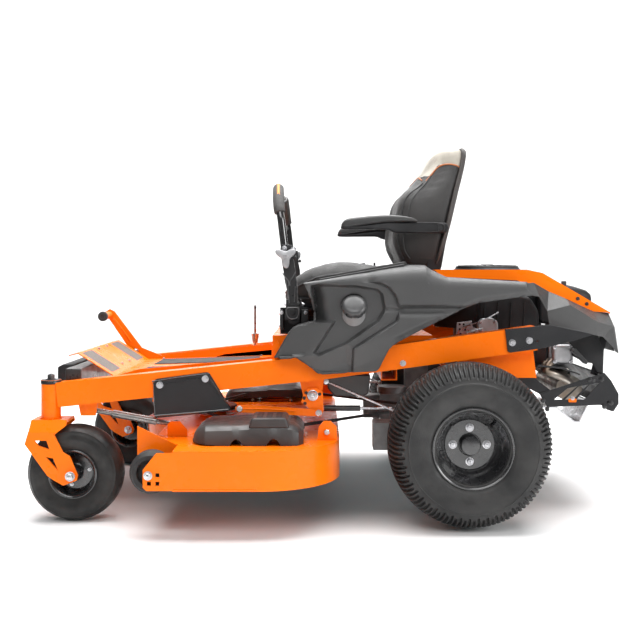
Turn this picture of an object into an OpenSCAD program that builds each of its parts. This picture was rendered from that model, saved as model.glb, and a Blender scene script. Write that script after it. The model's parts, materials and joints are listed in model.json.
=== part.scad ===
// Zero turn mower with a 52 inch deck, standing on its wheels with the deck raised.
// X runs from the casters (-) to the engine (+), Y from the left (-) to the right (+), Z is up.
// The origin is on the ground, under the centre of the whole machine.

/* [Drive wheels] */
// Outside diameter of a drive tyre
drive_tyre_d = 508; // [480:1:520]
// Width of a drive tyre
drive_tyre_w = 203; // [180:1:205]
// Diameter of the drive wheel's rim flange
drive_rim_d = 238; // [230:1:244]
// Distance between the two drive wheels' centre planes
drive_track = 1041; // [1038:1:1060]
// Distance from the caster axles to the drive axle, casters trailing
wheelbase = 1210; // [1200:1:1230]

/* [Casters] */
// Outside diameter of a caster tyre
caster_tyre_d = 298; // [280:1:300]
// Width of a caster tyre
caster_tyre_w = 105; // [90:1:108]
// Distance between the two kingpins
caster_track = 842; // [838:1:846]
// Distance from the kingpin back to the caster axle
caster_trail = 80; // [70:1:85]

/* [Frame] */
// Height of a main rail
rail_h = 76; // [70:1:78]
// Width of a main rail
rail_w = 51; // [48:1:52]
// Distance over the two main rails
rail_span = 892; // [888:1:894]
// Wall of the frame tubes
tube_wall = 3; // [2.5:0.5:5]
// Sheet of the welded brackets
bracket_t = 6; // [5:1:6]

/* [Deck] */
// Radius of the housing round each blade
chamber_r = 241; // [238:1:243]
// Length of each blade
blade_l = 457; // [440:1:460]
// Distance between the outer spindles
spindle_span = 864; // [860:1:868]
// Distance of the centre spindle ahead of the outer ones
spindle_lead = 190; // [185:1:195]
// Height of the deck's side skirt
skirt_h = 115; // [110:1:118]
// Sheet of the deck shell
deck_t = 3; // [2.5:0.5:4]

/* [Seat] */
// Width of the seat
seat_w = 480; // [440:1:484]
// Width of an armrest pad
armrest_w = 56; // [50:1:58]

/* [Hitch] */
// Diameter of the hitch pin hole
hitch_hole_d = 19; // [16:0.5:20]
// Diameter of the two accessory holes beside it
accessory_hole_d = 11; // [8:0.5:13]
// Sheet of the hitch plate
hitch_t = 5; // [4:1:8]

/* [Colours] */
// Paint of the frame and the deck
paint = "#f47a1c"; // ["#f47a1c", "#c8202a", "#2f7d32"]
// Plastic of the fenders and the rear cover
plastic = "#58595b"; // ["#58595b", "#3c3d3f"]
// Black steel
black_steel = "#1d1e20"; // ["#1d1e20", "#2b2c2e"]
// Rubber of the tyres and grips
rubber = "#1a1a1a"; // ["#1a1a1a", "#262626"]
// Bare metal
zinc = "#b4b7ba"; // ["#b4b7ba", "#8f9296"]

/* [Hidden] */
$fn = 64;
// The discharge chute reaches past the right side, so the frame's centre lies off the machine's.
mid_y = 123;
// Drive axle
drive_x = 416;
drive_r = drive_tyre_d / 2;
drive_y = drive_track / 2;
bead_r = 105;
axle_r = 16;
// Casters
caster_x = drive_x - wheelbase;
caster_r = caster_tyre_d / 2;
kingpin_x = caster_x - caster_trail;
kingpin_y = caster_track / 2;
kingpin_r = 20;
caster_bolt_r = 8;
run_gap = 0.05;
// Rails: a lower front stretch and a steeper rear one, meeting at the bend
rail_y = rail_span / 2;
rail_in_y = rail_y - rail_w;
rail_front = [-850, 390];
rail_bend = [-27, 476];
rail_back = [637, 567];
// Deck, in its raised position
deck_z = 144;
deck_top = deck_z + skirt_h;
spindle_x = -213;
spindle_y = spindle_span / 2;
centre_x = spindle_x - spindle_lead;
deck_side = spindle_y + chamber_r;
deck_front = -545;
corner_front = -455;
corner_y = 560;
blade_z = 158;
pulley_z = 282;
pulley_r = 70;
scalp_x = -524;
scalp_z = 190;
scalp_r = 62;
chute_hinge_z = 250;
chute_lugs = [-454, -222];
// Deck lift
crank_pin = [-56, 387];
crank_link = [-37, 333];
link_pin = [-754, 339];
link_end = [-487, 292];
pedal_pin = [-759, 462];
pedal_peg = [-864, 604];
// Engine
engine_x = 566;
engine_deck_z = 444;
blower_r = 190;
// Seat and levers
seat_hinge = [-150, 590];
arm_pin = [372, 918];
lever_pin = [-118, 627];
lever_y = 335;
swing_z = 668;
// Fuel cap
cap_x = 71;
cap_z = 656;
cap_tilt = 35;

// ---------- Shared helpers ----------

// Left normal of the way from a to b
function normal(a, b) = [a[1] - b[1], b[0] - a[0]] / norm(b - a);

// Shift of corner i that keeps a parallel path one unit away
function corner(p, i) =
    i == 0 ? normal(p[0], p[1])
    : i == len(p) - 1 ? normal(p[i - 1], p[i])
    : let (a = normal(p[i - 1], p[i]), b = normal(p[i], p[i + 1])) (a + b) / (1 + a * b);

// The same for a closed outline
function ring_corner(p, i) =
    let (k = len(p), a = normal(p[(i + k - 1) % k], p[i]), b = normal(p[i], p[(i + 1) % k]))
    (a + b) / (1 + a * b);

function ring_beside(p, t) = [for (i = [0 : len(p) - 1]) p[i] + t * ring_corner(p, i)];

function beside(p, t) = [for (i = [0 : len(p) - 1]) p[i] + t * corner(p, i)];

function reversed(p) = [for (i = [len(p) - 1 : -1 : 0]) p[i]];

// Outline of a sheet of thickness t to the left of a path
function sheet(p, t) = concat(p, reversed(beside(p, t)));

function arc(c, r, a0, a1, n) =
    [for (i = [0 : n]) c + r * [cos(a0 + (a1 - a0) * i / n), sin(a0 + (a1 - a0) * i / n)]];

// The machine's own centre plane is moved to put the origin under the middle of the whole
module in_frame() translate([0, -mid_y, 0]) children();

module both_sides() for (side = [0, 1]) mirror([0, side, 0]) children();

module on_right() mirror([0, 1, 0]) children();

// A side-view outline spread from y0 to y1
module across(y0, y1) translate([0, y1, 0]) rotate([90, 0, 0]) linear_extrude(y1 - y0) children();

module bent_sheet(p, t, y0, y1) across(y0, y1) polygon(sheet(p, t));

// A round bar along Y
module bar_y(at, r, y0, y1) translate([at[0], y0, at[1]]) rotate([-90, 0, 0]) cylinder(r = r, h = y1 - y0);

// A round bar between two points
module rod(a, b, r) {
    d = b - a;
    translate(a)
        rotate([0, acos(d[2] / norm(d)), atan2(d[1], d[0])])
            cylinder(r = r, h = norm(d));
}

module block(x, y, z) translate([x[0], y[0], z[0]]) cube([x[1] - x[0], y[1] - y[0], z[1] - z[0]]);

// A hexagon bolt head on a face that looks towards -Y
module bolt_head(at, y, r = 8, h = 6) {
    translate([at[0], y, at[1]]) rotate([90, 0, 0]) cylinder(r = r * 1.35, h = 2);
    translate([at[0], y - 2, at[1]]) rotate([90, 0, 0]) cylinder(r = r, h = h, $fn = 6);
}

// ---------- Frame ----------

module rail_shape(wall) {
    mid = [rail_front, rail_bend, rail_back];
    half = rail_h / 2 - wall;
    polygon(concat(beside(mid, half), reversed(beside(mid, -half))));
}

module left_rail() {
    difference() {
        union() {
            across(-rail_y, -rail_in_y) rail_shape(0);
            translate([kingpin_x, -kingpin_y, 318]) cylinder(r = 30, h = 105);
        }
        across(-rail_y + tube_wall, -rail_in_y - tube_wall) intersection() {
            rail_shape(tube_wall);
            translate([-836, 300]) square([1600, 400]);
        }
        translate([kingpin_x, -kingpin_y, 300]) cylinder(r = kingpin_r + run_gap, h = 140);
        translate([kingpin_x, -kingpin_y, 423.2]) cylinder(r = 32, h = 20);
    }
    // Bracket and pin of the front deck link
    across(-418, -418 + bracket_t)
        polygon([[-782, 322], [-736, 322], [-728, 366], [-790, 360]]);
    bar_y(link_pin, caster_bolt_r, -418, -394);
}

module frame_rails() in_frame() color(paint) both_sides() left_rail();

module cross_members() in_frame() color(paint) {
    mid_bar_z = 388;
    difference() {
        union() {
            block([-562, -512], [-rail_in_y, rail_in_y], [mid_bar_z - 25, mid_bar_z + 25]);
            block([160, 210], [-rail_in_y, rail_in_y], [430, 480]);
        }
        block([-559, -515], [-rail_in_y - 1, rail_in_y + 1], [mid_bar_z - 22, mid_bar_z + 22]);
        block([163, 207], [-rail_in_y - 1, rail_in_y + 1], [433, 477]);
    }
    // Engine deck with its two side webs
    difference() {
        block([400, 650], [-rail_in_y, rail_in_y], [engine_deck_z - 6, engine_deck_z]);
        translate([engine_x, 0, 400]) cylinder(r = 45, h = 80);
    }
    both_sides() {
        across(-rail_in_y, -rail_in_y + 5)
            polygon([[400, 438], [650, 438], [636, 560], [400, 530]]);
        // Hanger of the lift shaft
        across(-416, -416 + bracket_t) difference() {
            polygon([[-82, 366], [-30, 366], [-20, 437], [-96, 429]]);
            translate(crank_pin) circle(r = 12 + run_gap);
        }
    }
    // Pivots of the lift pedal and the brake lever, between the platform and the right rail
    block([-785.5, -728], [338, rail_in_y], [400, 406]);
    across(338, 338 + bracket_t)
        polygon([[-785.5, 400], [-728, 400], [-744, 480], [-774, 480]]);
    bar_y(pedal_pin, caster_bolt_r, 318, 344);
    across(366, rail_in_y) polygon([[-312, 452], [-270, 452], [-276, 484], [-306, 484]]);
    bar_y([-291, 470], 6, 344, 366);
}

module front_beam() in_frame() color(black_steel) difference() {
    union() {
        block([-838, -786], [-rail_in_y, rail_in_y], [392, 468]);
        block([-893, -830], [-378, 378], [396, 472]);
    }
    block([-835, -789], [-rail_in_y - 1, rail_in_y + 1], [395, 465]);
    block([-890, -800], [-375, 375], [399, 465]);
}

// Sheet floor, its toe board and two side flanges
module foot_platform() in_frame() color(paint) {
    floor_path = [[-188, 447], [-705, 431], [-822, 505], [-852, 498]];
    bent_sheet(floor_path, -3, -300, 300);
    both_sides() across(-300, -297)
        polygon([[-188, 449], [-188, 497], [-265, 489], [-620, 456], [-705, 433], [-704, 432.5]]);
}

module foot_grips() in_frame() color(rubber) {
    slope = atan2(74, -117);
    for (y = [-236, -112, 112, 236])
        translate([-705, y, 434.6]) rotate([0, -slope, 0]) block([22, 128], [-17, 17], [-2.7, -0.2]);
    for (y = [-150, 150]) translate([0, y, 0])
        bent_sheet([[-260, 448.3], [-640, 436.6]], -2.5, -95, 95);
}

module side_steps() in_frame() color(black_steel) both_sides() {
    across(-rail_y - 5, -rail_y) difference() {
        polygon(concat(
            arc([-535, 429], 12, 180, 95, 4), arc([-384, 449], 12, 90, 30, 4),
            [[-310, 352], [-313, 344], [-543, 322], [-547, 330]]));
        for (p = [[-529, 422], [-388, 441]]) translate(p) circle(r = 5.5);
    }
    bent_sheet([[-356, 340.8], [-542, 323]], 4, -rail_y - 1, -rail_y + 34);
}

// Bolts through the step plates, the rails and the engine side plates
module frame_bolts() in_frame() color(zinc) both_sides() {
    for (p = [[-529, 422], [-388, 441]]) {
        bolt_head(p, -rail_y - 5);
        bar_y(p, 5.3, -rail_y - 5, -rail_y);
    }
    bolt_head([224, 489], -rail_y, 7, 5);
    for (p = [[562, 553], [615, 560]]) bolt_head(p, -rail_y - 5);
}

module seat_box() in_frame() color(paint) {
    bent_sheet([[-186, 449], [-186, 568], [330, 568], [330, 520]], -3, -340, 340);
    both_sides() {
        across(-340, -337)
            polygon([[-186, 449], [-186, 566], [330, 566], [330, 520], [40, 486], [-100, 449]]);
        across(-rail_in_y, -rail_in_y + 3) polygon([[-186, 449], [-186, 540], [-168, 556], [-120, 449]]);
        block([-186, -183], [-rail_in_y, -338], [449, 540]);
    }
}

module lever_brackets() in_frame() color(black_steel) both_sides() {
    difference() {
        block([-162, -74], [-321, -296], [571.5, 657]);
        block([-155, -81], [-331, -300], [577, 651]);
    }
    bar_y(lever_pin, 11, -342, -298);
}

// ---------- Fenders ----------

fender_edge = [
    [-175, 508], [-134, 579], [-102, 609], [-49, 620], [-58, 690], [-83, 737],
    [241, 794], [290, 794], [314, 777], [356, 756], [603, 741], [621, 700],
    [454, 677], [348, 630], [188, 549], [147, 476], [-32, 459], [-107, 510]
];
recess_edge = [[-32, 732], [120, 732], [169, 722], [207, 651], [190, 622], [66, 545], [-26, 560], [-20, 640]];
fender_out = 500;
recess_deep = 44;

module fender_shell() {
    difference() {
        across(-fender_out, -fender_out + 4) polygon(fender_edge);
        across(-fender_out - 1, -fender_out + 5) polygon(recess_edge);
    }
    // Recess round the fuel neck
    across(-fender_out, -fender_out + recess_deep) difference() {
        polygon(ring_beside(recess_edge, 4));
        polygon(recess_edge);
    }
    across(-fender_out + recess_deep - 4, -fender_out + recess_deep) polygon(recess_edge);
    // Top, front and lower returns of the moulding
    bent_sheet([for (i = [5 : 11]) fender_edge[i]], -4, -fender_out, -262);
    bent_sheet([for (i = [0 : 5]) fender_edge[i]], -4, -fender_out, -402);
    bent_sheet([for (i = [11 : 15]) fender_edge[i]], -4, -fender_out, -460);
}

// Foot of the filler neck, tilted up and out
module at_neck()
    translate([cap_x, recess_deep - 2 - fender_out, cap_z - 14])
        rotate([90 - cap_tilt, 0, 0]) children();

module left_fender() in_frame() color(plastic) {
    difference() {
        fender_shell();
        at_neck() cylinder(r = 33, h = 60, center = true);
    }
    // Filler neck
    at_neck() difference() {
        translate([0, 0, -30]) cylinder(r = 33, h = 78);
        translate([0, 0, -24]) cylinder(r = 28, h = 90);
    }
}

module right_fender() in_frame() color(plastic) difference() {
    on_right() fender_shell();
    translate([60, 350, 700]) cylinder(r = 7.05, h = 100);
    translate([185, 380, 700]) cylinder(r = 6.05, h = 100);
    block([105, 148], [346, 354], [740, 800]);
}

module fuel_cap() in_frame() color("#2a2b2c") at_neck() difference() {
    union() {
        translate([0, 0, 32]) cylinder(r = 38, h = 20);
        translate([0, 0, 52]) cylinder(r1 = 38, r2 = 26, h = 7);
        for (a = [0 : 45 : 315]) rotate(a) translate([35, 0, 33]) cylinder(r = 5, h = 18);
    }
    translate([0, 0, 26]) cylinder(r = 33.3, h = 22.5);
}

module ignition_key() in_frame() color(black_steel) {
    translate([185, 380, 770]) cylinder(r = 6, h = 21);
    translate([185, 380, 787.5]) cylinder(r = 11, h = 4);
    block([181.5, 188.5], [369, 391], [790, 812]);
}

module pto_knob() in_frame() color("#d8a400") {
    translate([60, 350, 740]) cylinder(r = 7, h = 32);
    translate([60, 350, 771]) cylinder(r = 18, h = 14);
    translate([60, 350, 785]) cylinder(r1 = 18, r2 = 14, h = 4);
}

module throttle_lever() in_frame() color(black_steel) {
    bar_y([126, 745], 5, 346.5, 353.5);
    translate([126, 350, 745]) rotate([0, 8, 0]) block([-4, 4], [-2.5, 2.5], [0, 56]);
    translate([133, 350, 802]) rotate([0, 80, 0]) translate([0, 0, -14]) cylinder(r = 7, h = 28);
}

module brake_lever() in_frame() color(zinc) {
    difference() {
        bar_y([-291, 470], 13, 350, 362);
        bar_y([-291, 470], 6 + run_gap, 340, 372);
    }
    translate([-291, 356, 482]) cylinder(r = 5, h = 160);
    translate([-291, 356, 492]) cylinder(r1 = 10, r2 = 17, h = 38);
}

// ---------- Rear body ----------

module rear_cover() in_frame() color(plastic) {
    wing = [
        [612, 734], [657, 731], [704, 706], [757, 688], [844, 639], [900, 634], [927, 596],
        [935, 507], [868, 564], [841, 569], [714, 599], [706, 650], [668, 690], [640, 700]
    ];
    both_sides() across(-396, -392) polygon(wing);
    bent_sheet([[844, 635], [898, 630], [923, 594], [931, 512]], -4, -394, 394);
    both_sides() bent_sheet([[757, 684], [848, 632]], -4, -394, -338);
}

module rear_trim() in_frame() color(paint) {
    top_edge = [[336, 780], [634, 780], [685, 769], [904, 641]];
    both_sides() {
        across(-334, -330) polygon(concat(top_edge, [[850, 645], [603, 745], [356, 757]]));
        bent_sheet(top_edge, -4, -332, -268);
    }
    bent_sheet([[858, 667.9], [904, 641]], -4, -300, 300);
}

module side_plates() in_frame() color(black_steel) both_sides()
    across(-rail_y - 5, -rail_y) difference() {
        polygon([[540, 594], [679, 608], [815, 579], [759, 561], [666, 537], [556, 522], [548, 526]]);
        translate([640, 558]) circle(r = 3);
    }

module muffler_guard() in_frame() color(black_steel) {
    side = [
        [675, 379], [885, 447], [907, 422], [931, 379], [931, 347], [914, 321],
        [894, 327], [874, 343], [701, 336]
    ];
    both_sides() {
        across(-330, -325) difference() {
            polygon(side);
            for (i = [0 : 2])
                polygon([
                    for (q = [[722, 360], [748, 360], [800, 404 + 6 * i], [766, 397 + 6 * i]])
                        q + [36 * i, 0]
                ]);
            translate([853, 421]) circle(r = 5);
            translate([898, 352]) circle(r = 5);
        }
        // Arm to the engine deck
        across(-325, -320) polygon([[560, 438], [650, 438], [712, 390], [706, 338], [676, 378]]);
    }
    bent_sheet([[883, 443], [905, 419], [927, 378], [927, 348], [912, 325]], -5, -327, 327);
    // Upright to the rear cover
    both_sides() across(-250, -245)
        polygon([[864, 436], [905, 420], [908, 512], [922, 560], [900, 570], [880, 500]]);
}

module hitch_plate() in_frame() color(zinc) difference() {
    union() {
        bent_sheet([[690, 303], [784, 303], [846, 252], [866, 252], [900, 322]], hitch_t, -120, 120);
        both_sides() across(-125, -120) polygon([[690, 303], [690, 436], [650, 436], [650, 380], [672, 303]]);
        block([600, 690], [-125, 125], [432, 438]);
        block([892, 904], [-120, 120], [322, 327]);
    }
    translate([735, 0, 290]) cylinder(r = hitch_hole_d / 2, h = 30);
    both_sides() translate([735, -70, 290]) cylinder(r = accessory_hole_d / 2, h = 30);
}

// ---------- Engine and drive ----------

module engine_block() in_frame() color("#3a3b3d") {
    translate([engine_x, 0, engine_deck_z]) cylinder(r = 150, h = 76);
    translate([engine_x, 0, engine_deck_z + 76]) cylinder(r = 120, h = 55);
    translate([engine_x, 0, 415]) cylinder(r = 22, h = 30);
    both_sides() translate([engine_x, 0, 505]) rotate([0, 0, -42]) {
        block([90, 190], [-62, 62], [-48, 52]);
        for (i = [0 : 7]) block([126 + 14 * i, 132 + 14 * i], [-78, 78], [-58, 62]);
        block([225, 268], [-66, 66], [-50, 54]);
        block([186, 226], [-50, 50], [-36, 40]);
    }
}

module blower_housing() in_frame() color("#151617") translate([engine_x, 0, 0]) difference() {
    union() {
        translate([0, 0, 580]) cylinder(r = blower_r, h = 180);
        translate([0, 0, 760]) cylinder(r1 = 140, r2 = 110, h = 30);
    }
    translate([0, 0, 575]) cylinder(r = blower_r - 4, h = 181);
    for (i = [0 : 4]) translate([0, 0, 755]) difference() {
        cylinder(r = 100 - 18 * i, h = 50);
        translate([0, 0, -1]) cylinder(r = 92 - 18 * i, h = 52);
        for (a = [0, 60, 120]) rotate(a) block([-120, 120], [-4, 4], [-2, 55]);
    }
}

module air_cleaner() in_frame() color("#18191a") {
    rod([803, -120, 690], [803, 60, 690], 45);
    rod([803, -136, 690], [803, -120, 690], 38);
    rod([803, 60, 690], [755, 60, 690], 30);
}

module muffler() in_frame() color("#77787a") {
    rod([820, -150, 375], [820, 150, 375], 44);
    both_sides() {
        rod([820, -120, 375], [800, -175, 434], 16);
        rod([800, -175, 430], [766, -188, 438], 16);
    }
    rod([820, 110, 375], [880, 110, 350], 17);
}

module transaxles() in_frame() color("#9a9da0") both_sides() difference() {
    union() {
        rod([drive_x, -410, drive_r], [drive_x, -300, drive_r], 62);
        block([200, 430], [-385, -262], [196, 300]);
        block([137, 200], [-370, -290], [205, 292]);
        translate([250, -322, 300]) cylinder(r = 58, h = 26);
        block([300, 390], [-360, -300], [300, engine_deck_z - 6]);
    }
    bar_y([drive_x, drive_r], axle_r + run_gap, -420, -330);
}

module pto_clutch() in_frame() color(black_steel) translate([engine_x, 0, 0]) {
    translate([0, 0, pulley_z - 12]) cylinder(r = 68, h = 13);
    translate([0, 0, pulley_z + 1]) cylinder(r = pulley_r - 9, h = 15);
    translate([0, 0, pulley_z + 16]) cylinder(r = 68, h = 46);
    translate([0, 0, pulley_z + 62]) cylinder(r = 24, h = 414.5 - pulley_z - 62);
}

// ---------- Wheels ----------

// Half round tyre section, wide at the side walls and open towards the rim
function tyre_section(r_out, r_wide, half_w, n) = [for (i = [0 : n])
    let (a = 180 * i / n, s = sin(a), c = cos(a))
    [r_wide + (r_out - r_wide) * pow(s, 0.77), half_w * sign(c) * pow(abs(c), 0.77)]];

module tyre(r_out, r_bead, r_lip, half_w, bead_w, wall, r_wide) rotate([90, 0, 0]) rotate_extrude($fn = 96)
    polygon(concat(
        [[r_bead, bead_w], [r_lip, bead_w]],
        tyre_section(r_out, r_wide, half_w, 20),
        [[r_lip, -bead_w], [r_bead, -bead_w], [r_bead, wall - bead_w]],
        reversed(tyre_section(r_out - wall, r_wide, half_w - wall, 14)),
        [[r_bead, bead_w - wall]]));

module drive_tyre() translate([drive_x, -drive_y, drive_r])
    tyre(drive_r, bead_r, drive_rim_d / 2 + 2, drive_tyre_w / 2, 86, 11, 178);

module left_drive_tyre() in_frame() color(rubber) drive_tyre();

module right_drive_tyre() in_frame() color(rubber) on_right() drive_tyre();

module drive_rim() translate([drive_x, -drive_y, drive_r]) rotate([90, 0, 0]) {
    flange = drive_rim_d / 2;
    difference() {
        union() {
            rotate_extrude($fn = 96) polygon([
                [flange, 90], [flange, 86.3], [bead_r - 0.3, 86.3], [bead_r - 0.3, 72], [94, 58], [94, -58],
                [bead_r - 0.3, -72], [bead_r - 0.3, -86.3], [flange, -86.3], [flange, -90], [bead_r - 6, -90],
                [bead_r - 6, -74], [89, -60], [89, 60], [bead_r - 6, 74], [bead_r - 6, 90]]);
            translate([0, 0, 0]) cylinder(r = 92, h = 5);
            translate([0, 0, -46]) cylinder(r = 42, h = 46);
            cylinder(r = 27, h = 24);
        }
        for (a = [0 : 90 : 270]) rotate(a + 45) translate([72, 0, -2]) cylinder(r = 7, h = 9);
    }
    for (a = [0 : 90 : 270]) rotate(a) translate([50.8, 0, 5]) {
        cylinder(r = 11, h = 12, $fn = 6);
        cylinder(r = 6, h = 19);
    }
    translate([0, 0, -drive_y + 345]) cylinder(r = axle_r, h = drive_y - 345 - 40);
}

module left_drive_rim() in_frame() color(black_steel) drive_rim();

module right_drive_rim() in_frame() color(black_steel) on_right() drive_rim();

module caster_tyre() translate([caster_x, -kingpin_y, caster_r])
    tyre(caster_r, 62, 76, caster_tyre_w / 2, 44, 9, 105);

module left_caster_tyre() in_frame() color(rubber) caster_tyre();

module right_caster_tyre() in_frame() color(rubber) on_right() caster_tyre();

module caster_rim() translate([caster_x, -kingpin_y, caster_r]) rotate([90, 0, 0]) difference() {
    union() {
        rotate_extrude($fn = 96) polygon([
            [74, 48], [74, 44.3], [61.7, 44.3], [61.7, -44.3], [74, -44.3], [74, -48], [57, -48], [57, -4],
            [20, -4], [20, -54], [12, -54], [12, 54], [20, 54], [20, 4], [57, 4], [57, 48]]);
        translate([0, 0, -54]) cylinder(r = 14, h = 108);
    }
    cylinder(r = caster_bolt_r + run_gap, h = 120, center = true);
}

module left_caster_rim() in_frame() color(black_steel) caster_rim();

module right_caster_rim() in_frame() color(black_steel) on_right() caster_rim();

// Folded fork: the side view cut out of a bridge section
module caster_fork() {
    side_view = [
        [-925, 283], [-936, 245], [-867, 149], [-849, 136], [-818, 118.5], [-777, 134], [-774, 149],
        [-798, 207], [-819.5, 220], [-846, 273], [-813, 300], [-813, 316], [-922, 316]
    ];
    bridge = [
        [-66, 100], [-66, 281], [-44, 316], [44, 316], [66, 281], [66, 100],
        [58, 100], [58, 279], [40, 308], [-40, 308], [-58, 279], [-58, 100]
    ];
    difference() {
        intersection() {
            across(-kingpin_y - 80, -kingpin_y + 80) polygon(side_view);
            translate([-1000, -kingpin_y, 0]) rotate([90, 0, 90]) linear_extrude(300) polygon(bridge);
        }
        across(-kingpin_y - 90, -kingpin_y + 90) {
            polygon([[-907, 256], [-869, 256], [-860, 229], [-894, 240]]);
            polygon([[-872, 206], [-849, 202], [-833, 163]]);
        }
    }
    translate([kingpin_x, -kingpin_y, 310]) cylinder(r = kingpin_r, h = 120);
    translate([kingpin_x, -kingpin_y, 424.5]) cylinder(r = 31, h = 11);
    translate([kingpin_x, -kingpin_y, 435]) cylinder(r = 11, h = 14, $fn = 6);
    bar_y([caster_x, caster_r], caster_bolt_r, -kingpin_y - 76, -kingpin_y + 76);
    for (y = [-kingpin_y - 78, -kingpin_y + 66]) bar_y([caster_x, caster_r], 12.5, y, y + 12);
}

module left_caster_fork() in_frame() color(paint) caster_fork();

module right_caster_fork() in_frame() color(paint) on_right() caster_fork();

// ---------- Deck ----------

// Plan of the deck, drawn in by t, as a solid from z0 to z1
module deck_plan(t, z0, z1) {
    r = chamber_r - t;
    for (y = [-spindle_y, spindle_y]) translate([spindle_x, y, z0]) cylinder(r = r, h = z1 - z0, $fn = 96);
    translate([centre_x, 0, z0]) cylinder(r = r, h = z1 - z0, $fn = 96);
    block([spindle_x, spindle_x + r], [-spindle_y, spindle_y], [z0, z1]);
    block([corner_front + t, spindle_x], [-deck_side + t, deck_side - t], [z0, z1]);
    block([deck_front + t, spindle_x], [-corner_y + t, corner_y - t], [z0, z1]);
}

module deck_corner() {
    // Ear that carries the gauge wheel, with its height holes
    across(-deck_side, -deck_side + 4) difference() {
        polygon([[-539, 206], [-501, 254], [-450, 254], [-450, 146], [-529, 146], [-539, 156]]);
        for (p = [[-497, 191], [-521, 167], [-497, 167]]) translate(p) square(11.5, center = true);
    }
    bar_y([scalp_x, scalp_z], 8, -deck_side - 3, -corner_y);
    bolt_head([scalp_x, scalp_z], -deck_side, 9, 6);
    // Upright gusset at the front corner
    across(-corner_y, -corner_y + 4) polygon([[-577, 227], [-577, 313], [-463, 259], [-463, 227]]);
    block([-577, deck_front + 1], [-corner_y, -corner_y + 30], [227, 231]);
    // Hangers of the front link and of the lift
    across(-428, -422) polygon([[-509, 257], [-509, 296], [-500, 306], [-470, 306], [-447, 280], [-447, 257]]);
    across(-494, -486) polygon([[-41, 257], [-37, 300], [-22, 317], [0, 317], [18, 300], [18, 257]]);
    block([-41, 18], [-494, -452], [257, 262]);
}

module spindle_housing() {
    cylinder(r = 62, h = 8);
    translate([0, 0, -46]) cylinder(r = 34, h = 64);
}

module deck_shell() in_frame() color(paint) difference() {
    union() {
        difference() {
            deck_plan(0, deck_z, deck_top);
            deck_plan(deck_t, deck_z - 1, deck_top - deck_t);
            // Side discharge opening on the right
            block([-444, -160], [deck_side - 60, deck_side + 20], [deck_z - 1, 238]);
        }
        both_sides() deck_corner();
        for (p = [[spindle_x, -spindle_y], [centre_x, 0], [spindle_x, spindle_y]])
            translate([p[0], p[1], deck_top]) spindle_housing();
        // Hinge lugs of the chute
        for (x = chute_lugs) across(deck_side - 3, deck_side + 10)
            polygon([[x, 240], [x + 8, 240], [x + 8, 259], [x, 259]]);
    }
    for (p = [[spindle_x, -spindle_y], [centre_x, 0], [spindle_x, spindle_y]])
        translate([p[0], p[1], 150]) cylinder(r = 12.7 + run_gap, h = 160);
}

// One blade on its spindle with the pulley above the deck
module cutter(x, y, turn) translate([x, y, 0]) {
    cylinder_h = pulley_z + 20 - blade_z;
    translate([0, 0, blade_z - 12]) cylinder(r = 12.7, h = cylinder_h + 14);
    translate([0, 0, blade_z - 14]) cylinder(r = 17, h = 12, $fn = 6);
    translate([0, 0, pulley_z]) cylinder(r = pulley_r, h = 3);
    translate([0, 0, pulley_z + 3]) cylinder(r = pulley_r - 9, h = 12);
    translate([0, 0, pulley_z + 15]) cylinder(r = pulley_r, h = 3);
    rotate(turn) {
        block([-blade_l / 2, blade_l / 2], [-32, 32], [blade_z - 2.5, blade_z + 2.5]);
        for (side = [0, 180]) rotate(side)
            translate([blade_l / 2 - 90, 24, blade_z]) rotate([-28, 0, 0]) block([0, 84], [-4, 30], [-2.5, 2.5]);
    }
}

module left_blade() in_frame() color("#55585c") cutter(spindle_x, -spindle_y, 0);

module centre_blade() in_frame() color("#55585c") cutter(centre_x, 0, 0);

module right_blade() in_frame() color("#55585c") cutter(spindle_x, spindle_y, 0);

module belt_covers() in_frame() color("#26272a") both_sides() difference() {
    union() {
        across(-590, -336) polygon([
            [-412, 274], [-409, 292], [-383, 312], [-300, 312], [-110, 312], [-84, 298], [-84, 262],
            [-330, 262], [-396, 268]]);
        block([-236, -130], [-560, -350], [305, 318]);
    }
    across(-587, -339) polygon([
        [-404, 276], [-402, 290], [-381, 308], [-300, 308], [-112, 308], [-88, 296], [-88, 261],
        [-330, 261], [-394, 271]]);
    block([-190, -150], [-600, -560], [255, 285]);
    block([-300, -260], [-600, -560], [255, 280]);
    // Ways out for the belt, to the centre spindle and to the engine
    block([-360, -280], [-345, -330], [255, 300]);
    block([-93, -80], [-432, -368], [255, 298.5]);
}

// Point of a circle where the line from p touches it
function touch(p, c, r, side) =
    let (d = p - c, a = atan2(d[1], d[0]) + side * acos(r / norm(d))) c + r * [cos(a), sin(a)];

module belt_run(a, b) {
    d = b - a;
    translate([a[0], a[1], pulley_z + 4]) rotate(atan2(d[1], d[0]))
        translate([0, -4.5, 0.2]) cube([norm(d), 9, 8.6]);
}

// Belt round the three deck pulleys, drawn in behind them and run back to the engine
module deck_belt() in_frame() color(rubber) {
    wrap = pulley_r - 3.8;
    outer = [spindle_x, -spindle_y];
    centre = [centre_x, 0];
    turn = [engine_x - 300, -wrap];
    across_run = wrap * normal(outer, centre);
    both_sides() {
        belt_run(outer + across_run, centre + across_run);
        belt_run(touch(turn, outer, wrap, -1), turn);
        belt_run(turn - [2, 0], [engine_x, -wrap]);
    }
    for (p = [[spindle_x, -spindle_y], [centre_x, 0], [spindle_x, spindle_y], [engine_x, 0]])
        translate([p[0], p[1], pulley_z + 4]) difference() {
            cylinder(r = wrap + 5, h = 9);
            translate([0, 0, -1]) cylinder(r = wrap - 4.9, h = 11);
        }
}

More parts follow.
